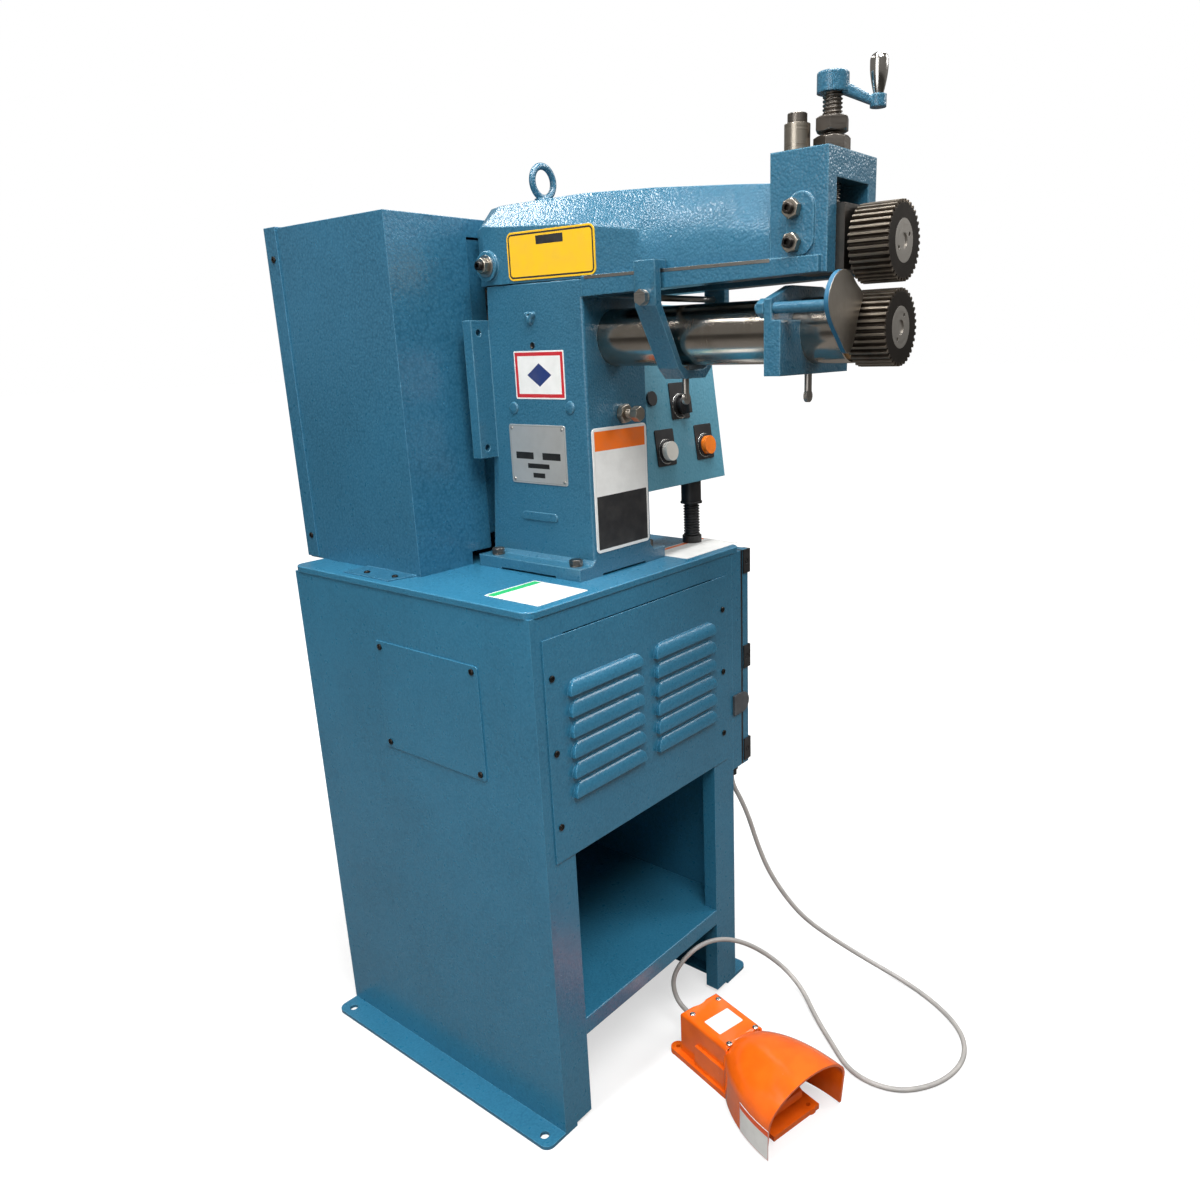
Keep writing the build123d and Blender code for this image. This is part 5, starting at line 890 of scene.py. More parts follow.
def wrapped(name: str, line: np.ndarray, low: float, high: float, thickness: float) -> bpy.types.Object:
    """Makes a sticker on an upright curved wall: point = line(u) + out(u) * thickness, over low <= z <= high.

    Args:
        name: The piece's name.
        line: X and y of points along the wall, from its left end to its right seen from outside.
        low: Lower edge.
        high: Upper edge.
        thickness: Its thickness.

    Returns:
        The object, with its UV map in metres from the middle.
    """
    run = np.concatenate(([0.0], np.cumsum(np.linalg.norm(np.diff(line, axis=0), axis=1))))
    even = np.linspace(0, run[-1], 25)
    path = np.stack([np.interp(even, run, line[:, k]) for k in range(2)], -1)
    along = np.gradient(path, axis=0)
    along /= np.linalg.norm(along, axis=1, keepdims=True)
    out = np.stack((along[:, 1], -along[:, 0]), -1)
    share = np.array((0.0, 0.01, 0.25, 0.5, 0.75, 0.99, 1.0))
    lift = np.where((share > 0) & (share < 1), thickness, 0.0)
    front = path[None] + out[None] * lift[:, None, None]
    back = np.broadcast_to(path[None, ::-1], front.shape)
    flat = np.concatenate((front, back), 1)
    height = np.broadcast_to((low + share * (high - low))[:, None, None], (*flat.shape[:2], 1))
    across = np.concatenate((even, even[::-1])) - run[-1] / 2
    chart = np.stack(np.broadcast_arrays(across[None], height[..., 0] - (low + high) / 2), -1)
    return lattice(name, np.concatenate((flat, height), -1), capped=False, chart=chart)


def screw_head(name: str, base: Point, direction: Point) -> bpy.types.Object:
    """Makes a pan head with a cross recess: height = h (1 - 0.35 r^4) - recess where |x| or |y| is small.

    Args:
        name: The piece's name.
        base: Middle of its underside.
        direction: The way it faces.

    Returns:
        The object.
    """
    across, beside, along = axes_of(direction)
    angle = np.linspace(0, 2 * np.pi, 40, endpoint=False)
    share = np.array((0.02, 0.09, 0.17, 0.25, 0.34, 0.43, 0.52, 0.58, 0.7, 0.82, 0.92, 0.98, 1.0, 1.0))
    x, y = share[:, None] * np.cos(angle), share[:, None] * np.sin(angle)
    arm = np.minimum(np.abs(x), np.abs(y)) < 0.13
    sunk = arm & (np.hypot(x, y) < 0.56)
    rise = HEAD_HEIGHT * (1 - 0.35 * share[:, None] ** 4 - 0.5 * sunk)
    rise[-1] = -0.0002
    flat = HEAD_RADIUS * (x[..., None] * across + y[..., None] * beside)
    return lattice(name, np.array(base) + flat + rise[..., None] * along, crease=40.0)


@dataclass
class Workshop:
    """The loaded frame and the finishes, with the steps that every sub-assembly shares.

    Attributes:
        frame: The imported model, its nodes and its record.
        finishes: Finished materials by slot or plate name.
        MERGED: Distance within which a copy's points become one, in metres.
        EVENED: Weight of the large faces in a copy's normals.
    """

    MERGED = 0.000004
    EVENED = 80

    frame: dict
    finishes: dict[str, bpy.types.Material] = field(default_factory=dict)

    def prepare(self, *kinds: object) -> None:
        """Makes the material of each finish and keeps it under the finish's name."""
        for kind in kinds:
            self.finishes[kind.name] = kind.material()

    def body_of(self, node: str) -> str:
        """Returns the body that a node of the model belongs to."""
        bodies = self.frame["record"]["behaviour"]["bodies"]
        return next(body for body, members in bodies.items() if node in members)

    def dress(self, finish: str, *nodes: str) -> None:
        """Gives nodes of the model a finish and leaves their shape."""
        for node in nodes:
            piece = self.frame["nodes"][node]
            if not piece.material_slots:
                piece.data.materials.append(None)
            for slot in piece.material_slots:
                slot.material = self.finishes[finish]

    def add(self, piece: bpy.types.Object, body: str, finish: str, slot: str, *replaced: str) -> None:
        """Puts a new piece on a body.

        Args:
            piece: The object, in place.
            body: Body it moves with.
            finish: Its finish.
            slot: Not used; the record's slot that the piece belongs to.
            replaced: Nodes of the model that it stands for.
        """
        piece.data.materials.clear()
        piece.data.materials.append(self.finishes[finish])
        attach(piece, body)
        if replaced:
            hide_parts(*replaced)
        log.info("piece %s on %s", piece.name, body)

    def screw(self, name: str, base: Point, direction: Point, finish: str = "black_oxide") -> None:
        """Adds one of the pan-head screws that stand for the model's.

        Args:
            name: The piece's name.
            base: Middle of its underside.
            direction: The way it faces.
            finish: Its finish.
        """
        self.add(screw_head(name, base, direction), "machine", finish, "plated_screws", "cover_screws")

    def refine(self, finish: str, *nodes: str, crease: float = 34.0) -> None:
        """Adds smooth copies of nodes whose round faces the loose triangles would show flat.

        Args:
            finish: Their finish.
            nodes: The nodes that the copies stand for.
            crease: Edges sharper than this angle in degrees stay sharp.
        """
        slots = {part["node"]: part["material_slot"] for part in self.frame["record"]["subparts"]}
        for node in nodes:
            self.add(self.smooth(node, crease), self.body_of(node), finish, slots[node], node)

    def smooth(self, node: str, crease: float) -> bpy.types.Object:
        """Returns a copy of a node with its points merged and its normals evened out.

        Args:
            node: The node.
            crease: Edges sharper than this angle in degrees stay sharp.

        Returns:
            The copy.
        """
        work = bmesh.new()
        work.from_mesh(self.frame["nodes"][node].data)
        bmesh.ops.remove_doubles(work, verts=work.verts, dist=self.MERGED)
        name = node + "_skin"
        mesh = bpy.data.meshes.new(name)
        work.to_mesh(mesh)
        work.free()
        if "custom_normal" in mesh.attributes:
            mesh.attributes.remove(mesh.attributes["custom_normal"])
        piece = shaded(name, mesh, crease)
        even = piece.modifiers.new("even_normals", "WEIGHTED_NORMAL")
        even.keep_sharp = True
        even.weight = self.EVENED
        return piece


@dataclass
class Assembly:
    """A group of the machine's pieces.

    Attributes:
        shop: The workshop.
        DRESSED: Finishes, each with the nodes that keep their shape.
        REFINED: Finishes, each with the nodes that get smooth copies.
    """

    DRESSED = {}
    REFINED = {}

    shop: Workshop

    def build(self) -> None:
        """Dresses and refines the model's nodes, then adds the group's own pieces."""
        for finish, nodes in self.DRESSED.items():
            self.shop.dress(finish, *nodes)
        for finish, nodes in self.REFINED.items():
            self.shop.refine(finish, *nodes)
        self.details()

    def details(self) -> None:
        """Adds the pieces that the model doesn't hold, where the group has any."""


@dataclass
class Cabinet(Assembly):
    """The sheet-metal stand: shell, top plate, shelf, louvred front and access cover.

    Attributes:
        side_screws: Y and z of the access cover's screws.
        front_screws: X and z of the louvre panel's screws.
        top_screws: X and y of the guard flanges' screws.
        side_face: X of the access cover's outer face.
        front_face: Y of the louvre panel's outer face.
        top_face: Z of the guard flanges' upper face.
    """

    DRESSED = {"sheet_enamel": ("cabinet_shell", "cabinet_top", "access_cover", "storage_shelf")}
    REFINED = {"sheet_enamel": ("louvre_panel",)}

    side_screws: tuple = tuple(product((0.0575, -0.1465), (0.7135, 0.5615)))
    front_screws: tuple = tuple(product((-0.196, 0.196), (0.7173, 0.611, 0.502)))
    top_screws: tuple = ((0.237, 0.046), (0.237, 0.107), (-0.197, 0.046), (-0.202, 0.107))
    side_face: float = -0.2291
    front_face: float = -0.2655
    top_face: float = 0.815

    def details(self) -> None:
        """Adds the screws' heads."""
        heads = [((self.side_face, y, z), LEFT) for y, z in self.side_screws]
        heads += [((x, self.front_face, z), FRONT) for x, z in self.front_screws]
        heads += [((x, y, self.top_face), UP) for x, y in self.top_screws]
        for number, (base, direction) in enumerate(heads, 1):
            self.shop.screw(f"cabinet_screw_{number:02d}", base, direction)


@dataclass
class TopLabels(Assembly):
    """Two bare stickers on the top plate.

    Attributes:
        height: Z of the top plate's face.
    """

    height: float = 0.8131

    def details(self) -> None:
        """Adds both stickers."""
        for name, x, y, finish in (
            ("left_top_sticker", -0.148, -0.198, "sticker_green"),
            ("right_top_sticker", 0.1975, -0.21, "sticker_white"),
        ):
            piece = slab(name, (x, y, self.height), RIGHT, BACK, HALVES[finish], 0.0003, 0.003)
            self.shop.add(piece, "machine", finish, "plate_aluminium")


@dataclass
class Guard(Assembly):
    """The drive guard behind the column.

    Attributes:
        sides: X of its left and right faces, with the way each faces.
        screw_depth: Y of the side screws.
        screw_heights: Z of the side screws.
        strip: Middle of the strip that closes the front opening.
        strip_half: The strip's half width and half height.
    """

    DRESSED = {"guard_enamel": ("guard_shell", "guard_rear_cover")}

    sides: tuple = ((-0.176, LEFT), (0.224, RIGHT))
    screw_depth: float = 0.2875
    screw_heights: tuple[float, float] = (1.27, 0.85)
    strip: tuple[float, float, float] = (-0.029, 0.0196, 1.07)
    strip_half: tuple[float, float] = (0.026, 0.215)

    def details(self) -> None:
        """Adds the four side screws and the strip."""
        for number, ((x, out), z) in enumerate(product(self.sides, self.screw_heights), 1):
            self.shop.screw(f"guard_screw_{number}", (x, self.screw_depth, z), out)
        apron = slab("guard_apron", self.strip, RIGHT, UP, self.strip_half, 0.0009, 0.002)
        self.shop.add(apron, "machine", "guard_enamel", "cabinet_paint")


@dataclass
class Casting(Assembly):
    """The cast column and arm, with its bosses and bare plates.

    Attributes:
        side: X of the column's left face.
        front: Y of its front face.
        pads: Y and z of two round cast pads on that side.
        tablet: Y and z of a long cast pad.
        hole: Y and z of a tapped hole.
        lug_place: Y and z of a small cast lug.
        arm_side: Unit direction along the arm's left face, towards the operator.
        rivets: Y and z of the rating plate's rivets.
        plate: Thickness of the rating plate, under its rivets.
        PAD, DIMPLE, RIVET: Profiles of the turned details, as distance along the axis and radius.
    """

    REFINED = {"cast_enamel": ("frame_casting", "eye_bolt")}
    PAD = ((0.0, 0.009), (0.0014, 0.0084), (0.0019, 0.0074), (0.002, 0.003))
    DIMPLE = ((0.0, 0.0046), (0.00035, 0.0044), (0.0001, 0.0038), (0.00008, 0.001))
    RIVET = ((0.0, 0.0024), (0.0006, 0.0023), (0.0012, 0.0015), (0.0014, 0.0004))

    side: float = -0.0405
    front: float = -0.21
    pads: tuple = ((-0.066, 1.049), (-0.178, 1.051))
    tablet: tuple[float, float] = (-0.105, 0.893)
    hole: tuple[float, float] = (-0.112, 1.135)
    lug_place: tuple[float, float] = (-0.112, 1.176)
    arm_side: tuple[float, float, float] = (0.0566, -0.9984, 0.0)
    rivets: tuple = tuple(product((-0.16, -0.059), (0.9465, 1.0205)))
    plate: float = 0.001

    def details(self) -> None:
        """Adds pads, a lug, a hole, the machined edge of the arm's flange and the plates."""
        for number, place in enumerate(self.pads, 1):
            pad = turned(f"cast_pad_{number}", self.PAD, (self.side, *place), LEFT, 32)
            self.shop.add(pad, "machine", "cast_enamel", "frame_paint")
        tablet = slab("cast_tablet", (self.side, *self.tablet), FRONT, UP, (0.036, 0.0062), 0.0017, 0.006)
        # Painted shade: the tapped hole is a shallow dimple in a dark finish, whose darkness stands for the
        # shade inside the hole
        hole = turned("cast_hole", self.DIMPLE, (self.side, *self.hole), LEFT, 32)
        self.shop.add(tablet, "machine", "cast_enamel", "frame_paint")
        self.shop.add(hole, "machine", "black_oxide", "machined_steel")
        self.shop.add(self.lug(), "machine", "cast_enamel", "frame_paint")
        for name, x, right in (("left", -0.041, FRONT), ("right", 0.089, BACK)):
            place, half = (x, -0.358, 1.2184), (0.142, 0.00195)
            edge = slab(f"flange_edge_{name}", place, right, UP, half, 0.0003, 0.0008)
            self.shop.add(edge, "machine", "machined_steel", "machined_steel")
        self.plates()

    def lug(self) -> bpy.types.Object:
        """Returns the lug: a rounded triangle r = 8 + 2 cos 3a mm, drawn in as it rises 5.5 mm."""
        angle = np.linspace(0, 2 * np.pi, 48, endpoint=False)
        shape = 0.008 + 0.002 * np.cos(3 * (angle + np.pi / 2))
        share = np.array((1.1, 1.0, 0.96, 0.9, 0.78, 0.3, 0.24, 0.22))[:, None]
        rise = np.array((0.0, 0.0012, 0.0038, 0.005, 0.0055, 0.0055, 0.005, 0.0035))[:, None]
        y, z = self.lug_place
        flat = share * shape
        across, up = y + flat * np.cos(angle), z - 0.003 * share + flat * np.sin(angle)
        grid = np.stack(np.broadcast_arrays(self.side - rise, across, up), -1)
        return lattice("cast_lug", grid, crease=50.0)

    def plates(self) -> None:
        """Adds the bare plates, a sticker and the rating plate's rivets."""
        arm = (-0.03765, -0.15435, 1.25275)
        rating, front = (self.side, -0.1095, 0.9835), (MIDDLE, self.front, 0.9345)
        for name, finish, middle, right, thickness, corner, replaced in (
            ("arm_plate", "plate_yellow", arm, self.arm_side, 0.0011, 0.009, ("name_plates",)),
            ("rating_plate", "plate_metal", rating, FRONT, self.plate, 0.004, ("name_plates",)),
            ("front_plate", "plate_front", front, RIGHT, 0.001, 0.007, ("name_plates",)),
            ("side_sticker", "sticker_lozenge", (self.side, -0.122, 1.095), FRONT, 0.0004, 0.002, ()),
        ):
            piece = slab(name, middle, right, UP, HALVES[finish], thickness, corner)
            self.shop.add(piece, "machine", finish, "plate_aluminium", *replaced)
        for number, place in enumerate(self.rivets, 1):
            rivet = turned(f"plate_rivet_{number}", self.RIVET, (self.side - self.plate, *place), LEFT, 20)
            self.shop.add(rivet, "machine", "machined_steel", "plate_aluminium")


@dataclass
class Fasteners(Assembly):
    """The casting's nuts, set screws and bolts.

    Attributes:
        pad: Distance of the adjusters' faces from the middle plane.
        boss: Distance of the pivot bosses' washers from it.
        washer: Washer thickness.
        stud: Radius of the M12 screws.
        nut: Width across flats of their nuts.
        base_nut: Width across flats of the base bolts and their nuts.
        base_height: Height of the base bolts' heads and nuts.
        lock: Foot of the front screw.
    """

    pad: float = 0.06035
    boss: float = 0.072
    washer: float = 0.0018
    stud: float = 0.006
    nut: float = 0.019
    base_nut: float = 0.017
    base_height: float = 0.008
    lock: tuple[float, float, float] = (0.032, -0.21, 1.039)

    def put(
        self, name: str, rows: Rows, origin: Point, direction: Point, finish: str, turn: float = 0.0
    ) -> None:
        """Adds one fastener that stands for the model's.

        Args:
            name: The piece's name.
            rows: Its rows, as fastener takes them.
            origin: Where reach is zero.
            direction: The axis.
            finish: Its finish.
            turn: Turn about the axis, in degrees.
        """
        piece = fastener(name, rows, origin, direction, turn)
        self.shop.add(piece, "machine", finish, "machined_steel", "frame_fasteners")

    def adjuster(self, name: str, origin: Point, out: Point, base: float, turn: float) -> None:
        """Adds a lock nut with a headless socket screw.

        Args:
            name: Start of both pieces' names.
            origin: Middle of the face that they stand on.
            out: The way that face looks.
            base: Thickness of the washer under the nut.
            turn: The nut's turn about its axis, in degrees.
        """
        self.put(name + "_nut", hexagon_rows(base, base + 0.009, self.nut), origin, out, "warm_steel", turn)
        top = base + 0.015
        screw = stud_rows(base + 0.0085, top, self.stud) + socket_rows(top, 0.0059, 0.005)
        self.put(name + "_screw", screw, origin, out, "black_oxide", turn + 14)

    def details(self) -> None:
        """Adds the side adjusters, the pivots, the base bolts, the front screw and the guide nut."""
        for name, side in (("left", -1), ("right", 1)):
            out = (side, 0, 0)
            for number, z in enumerate((1.235, 1.27), 1):
                face = (MIDDLE + side * self.pad, -0.5275, z)
                self.adjuster(f"adjuster_{name}_{number}", face, out, 0.0, 9.0 * number)
            face = (MIDDLE + side * self.boss, -0.037, 1.244)
            ring = washer_rows(0.015, self.washer, 0.0003)
            self.put(f"pivot_washer_{name}", ring, face, out, "machined_steel")
            self.adjuster(f"pivot_{name}", face, out, self.washer, 20.0)
        nut = hexagon_rows(0.0, self.base_height, self.base_nut)
        head = washer_rows(0.0095, self.washer)
        head += hexagon_rows(self.washer, self.washer + self.base_height, self.base_nut)
        for number, (x, y) in enumerate(product((-0.057, 0.105), (-0.188, -0.026)), 1):
            self.put(f"base_bolt_{number}", head, (x, y, 0.831), UP, "dark_steel", 17.0 * number)
            self.put(f"base_nut_{number}", nut, (x, y, 0.796), UP, "dark_steel")
        for name, rows, turn in (
            ("front_lock_nut", hexagon_rows(0.0, 0.01, 0.024), 12.0),
            ("front_shank", stud_rows(0.0095, 0.0222, self.stud), 0.0),
            ("front_head", [(0.022, 0.0055, 0.0055)] + hexagon_rows(0.022, 0.034, self.nut), 24.0),
        ):
            self.put(name, rows, self.lock, FRONT, "warm_steel", turn)
        guide = hexagon_rows(0.0, 0.018, 0.0364) + bore_rows(0.018)
        self.put("guide_nut", guide, (*SCREW, 1.33), UP, "dark_steel", 8.0)


class RollHead(Assembly):
    """Bearing block, rolls, their shafts and gears."""

    REFINED = {
        "retainer_steel": ("upper_roll_retainer", "lower_roll_retainer"),
        "tube_steel": ("lower_arm_tube",),
        "machined_steel": ("upper_shaft", "lower_shaft", "upper_gear", "lower_gear"),
        "bush_bronze": ("shaft_bushes",),
        "block_iron": ("bearing_block",),
        "cast_iron": ("rear_bearing",),
    }

    def details(self) -> None:
        """Refines the rolls, whose teeth need a lower limit for sharp edges."""
        for node in ("upper_roll", "lower_roll"):
            self.shop.refine(node + "_steel", node, crease=28.0)


@dataclass
class CrankDrive(Assembly):
    """The screw with its crank, handle and nuts, and the lift bolt beside it.

    Attributes:
        low: Z of the screw's lower end.
        high: Z of its upper end.
        radius: Its crest radius.
        pitch: Distance between its crests.
        groove: Depth of its thread.
        chamfer: Length of the lead-in at each end.
        stop: Z of the stop nut's foot.
        nut_height: Height of the stop nut.
        nut_flats: Its width across flats.
    """

    DRESSED = {"dark_steel": ("lift_spring", "screw_shoe")}
    REFINED = {
        "cast_enamel": ("crank_arm",),
        "polished_steel": ("crank_handle",),
        "dark_steel": ("lift_bolt",),
        "warm_steel": ("spring_housing",),
    }

    low: float = 1.279
    high: float = 1.398
    radius: float = 0.0111
    pitch: float = 0.0042
    groove: float = 0.0019
    chamfer: float = 0.003
    stop: float = 1.352
    nut_height: float = 0.016
    nut_flats: float = 0.0338

    def details(self) -> None:
        """Cuts the thread and adds the stop nut."""
        cut = (self.high - self.low, self.radius, self.pitch, self.groove, self.chamfer)
        screw = threaded("crank_thread", (*SCREW, self.low), UP, *cut)
        self.shop.add(screw, "crank", "dark_steel", "machined_steel", "crank_screw")
        rows = hexagon_rows(0.0, self.nut_height, self.nut_flats) + bore_rows(self.nut_height)
        nut = fastener("stop_nut_hexagon", rows, (*SCREW, self.stop), UP, 21.0)
        self.shop.add(nut, self.shop.body_of("stop_nut"), "dark_steel", "machined_steel", "stop_nut")


class Gauge(Assembly):
    """The brace strap and the sheet gauge on the lower arm."""

    REFINED = {
        "cast_enamel": ("brace_strap", "gauge_bracket", "gauge_rod"),
        "gauge_face": ("gauge_plate",),
        "machined_steel": ("strap_bolt", "strap_screw", "gauge_screw"),
    }


@dataclass
class Controls(Assembly):
    """The control box, its buttons and selector, the conduit and the electrical enclosure.

    Attributes:
        fittings: X and z of the buttons' and the selector's axes on the sloping panel.
        foot: Y and z of a point on the panel, below them.
        lean: How far the panel runs back for each metre up.
        legend: Thickness of the plates under the rings.
        RING: The rings' profile, as distance along the axis and radius.
    """

    DRESSED = {
        "control_enamel": ("control_box",),
        "sheet_enamel": ("enclosure_box", "enclosure_door"),
        "switch_plastic": ("switchgear",),
    }
    REFINED = {
        "black_plastic": (
            "panel_fittings", "selector_knob", "conduit_hose", "seals_and_glands", "door_clamps",
        ),
        "button_white": ("start_button",),
        "button_amber": ("stop_button",),
        "dark_grey_paint": ("door_hasp",),
    }
    RING = ((0.0001, 0.0177), (0.0012, 0.0177), (0.0012, 0.019), (0.0009, 0.0194), (0.0001, 0.0194))

    fittings: tuple = ((0.152, 0.972), (0.254, 0.972), (0.201, 1.038))
    foot: tuple[float, float] = (-0.2, 0.917)
    lean: float = 0.129
    legend: float = 0.0015

    def details(self) -> None:
        """Rings the fittings in bright metal."""
        out = np.array((0.0, -1.0, self.lean)) / np.hypot(1.0, self.lean)
        y, low = self.foot
        for number, (x, z) in enumerate(self.fittings, 1):
            base = np.array((x, y + self.lean * (z - low), z)) + out * self.legend
            piece = turned(f"chrome_ring_{number}", self.RING, base, out, 56, loop=True)
            self.shop.add(piece, "machine", "zinc_plate", "black_plastic")


class DriveTrain(Assembly):
    """The motor, the reducer, the pulleys and the belt."""

    REFINED = {
        "motor_paint": ("drive_motor", "gear_reducer"),
        "cast_iron": ("drive_pulley", "driven_pulley"),
        "belt_rubber": ("drive_belt",),
    }


@dataclass
class FootSwitch(Assembly):
    """The hooded foot switch.

    Attributes:
        origin: X and y of its own origin.
        turn: Its turn about the upright axis, in degrees.
        top: Z of the housing's upper face.
        screws: X and y of its screws.
        ends: How far back the side sticker's rear and front ends lie.
        rim: How far back the left wall's front rim lies, where it is still whole.
        level: Height at which the wall is found.
        outside: Distance to the left from which it is found.
        glue: Distance of the side sticker's back from it.
    """

    REFINED = {"orange_enamel": ("foot_base", "foot_housing", "foot_treadle")}

    origin: tuple[float, float] = (0.0491, -0.3002)
    turn: float = 13.5
    top: float = 0.084
    screws: tuple = ((0.0488, -0.4215), (0.0693, -0.3359), (-0.0057, -0.4084), (0.0149, -0.3228))
    ends: tuple[float, float] = (-0.192, -0.2585)
    rim: float = -0.25
    level: float = 0.03
    outside: float = 0.2
    glue: float = 0.0001

    def axes(self) -> tuple[np.ndarray, np.ndarray]:
        """Returns its right and back directions."""
        angle = np.radians(self.turn)
        return np.array((np.cos(angle), -np.sin(angle), 0)), np.array((np.sin(angle), np.cos(angle), 0))

    def at(self, right: float, back: float, height: float) -> np.ndarray:
        """Returns a point given in its own directions."""
        across, along = self.axes()
        return np.array((*self.origin, height)) + across * right + along * back

    def wall(self, backs: np.ndarray) -> np.ndarray:
        """Returns how far the housing's left wall reaches, found by rays from outside.

        Args:
            backs: How far back each place lies.

        Returns:
            The reach to the left at each place, in metres.
        """
        work = bmesh.new()
        work.from_mesh(self.shop.frame["nodes"]["foot_housing"].data)
        tree = BVHTree.FromBMesh(work)
        work.free()
        starts = [Vector(self.at(-self.outside, back, self.level)) for back in backs]
        return self.outside - np.array([tree.ray_cast(start, Vector(self.axes()[0]))[3] for start in starts])

    def details(self) -> None:
        """Adds the screws and two bare stickers."""
        for number, place in enumerate(self.screws, 1):
            self.shop.screw(f"foot_screw_{number}", (*place, self.top), UP, "zinc_plate")
        half = HALVES["sticker_foot"]
        top = slab("foot_top_sticker", self.at(0.0, -0.074, self.top), *self.axes(), half, 0.0003, 0.002)
        self.shop.add(top, "machine", "sticker_foot", "plate_aluminium")
        rear, front = self.ends
        backs = np.linspace(rear, self.rim, 9)
        reach = self.wall(backs)
        places = zip(np.append(reach, reach[-1]), np.append(backs, front))
        line = np.array([self.at(-far - self.glue, back, 0.0)[:2] for far, back in places])
        side = wrapped("foot_side_sticker", line, 0.004, 0.056, 0.0005)
        self.shop.add(side, "machine", "sticker_side", "plate_aluminium")


@dataclass
class Cable(Assembly):
    """The foot switch's cable.

    Attributes:
        route: Points of its line in millimetres.
        radius: Its radius in metres.
        length: Its length in metres.
    """

    route: tuple = (
        (241, -250, 404.9), (241, -250, 387), (248, -265, 356), (256, -277, 318), (264.6, -288, 268),
        (277, -305, 210), (298, -334, 150), (321, -361, 105), (362, -407, 53), (386, -460, 20),
        (391, -521, 4.5), (371, -581, 4.5), (345, -630, 4.5), (314, -664, 4.5), (273, -683, 4.5),
        (228, -683, 4.5), (183, -667, 4.5), (142, -632, 4.5), (128, -586, 4.5), (136, -541, 4.5),
        (169, -497, 4.5), (210, -442, 6), (254, -391, 12), (263, -350, 32), (241, -320, 66),
        (203, -300, 102), (160, -284, 129), (112, -272, 141), (80, -256, 122), (64, -245, 92),
        (60, -250, 64), (56.8, -268.11, 46), (51.9, -288.53, 46),
    )
    radius: float = 0.004
    length: float = 1.578

    def details(self) -> None:
        curve = bpy.data.curves.new("foot_switch_cable", "CURVE")
        curve.dimensions = "3D"
        curve.bevel_depth = self.radius
        curve.bevel_resolution = 6
        curve.resolution_u = 12
        curve.use_fill_caps = True
        line = curve.splines.new("NURBS")
        line.points.add(len(self.route) - 1)
        points = np.hstack((np.array(self.route) / 1000, np.ones((len(self.route), 1))))
        line.points.foreach_set("co", points.ravel())
        line.order_u = 3
        line.use_endpoint_u = True
        cable = placed("foot_switch_cable", curve)
        self.shop.add(cable, "machine", "cable_grey", "cable_grey", "foot_cable")


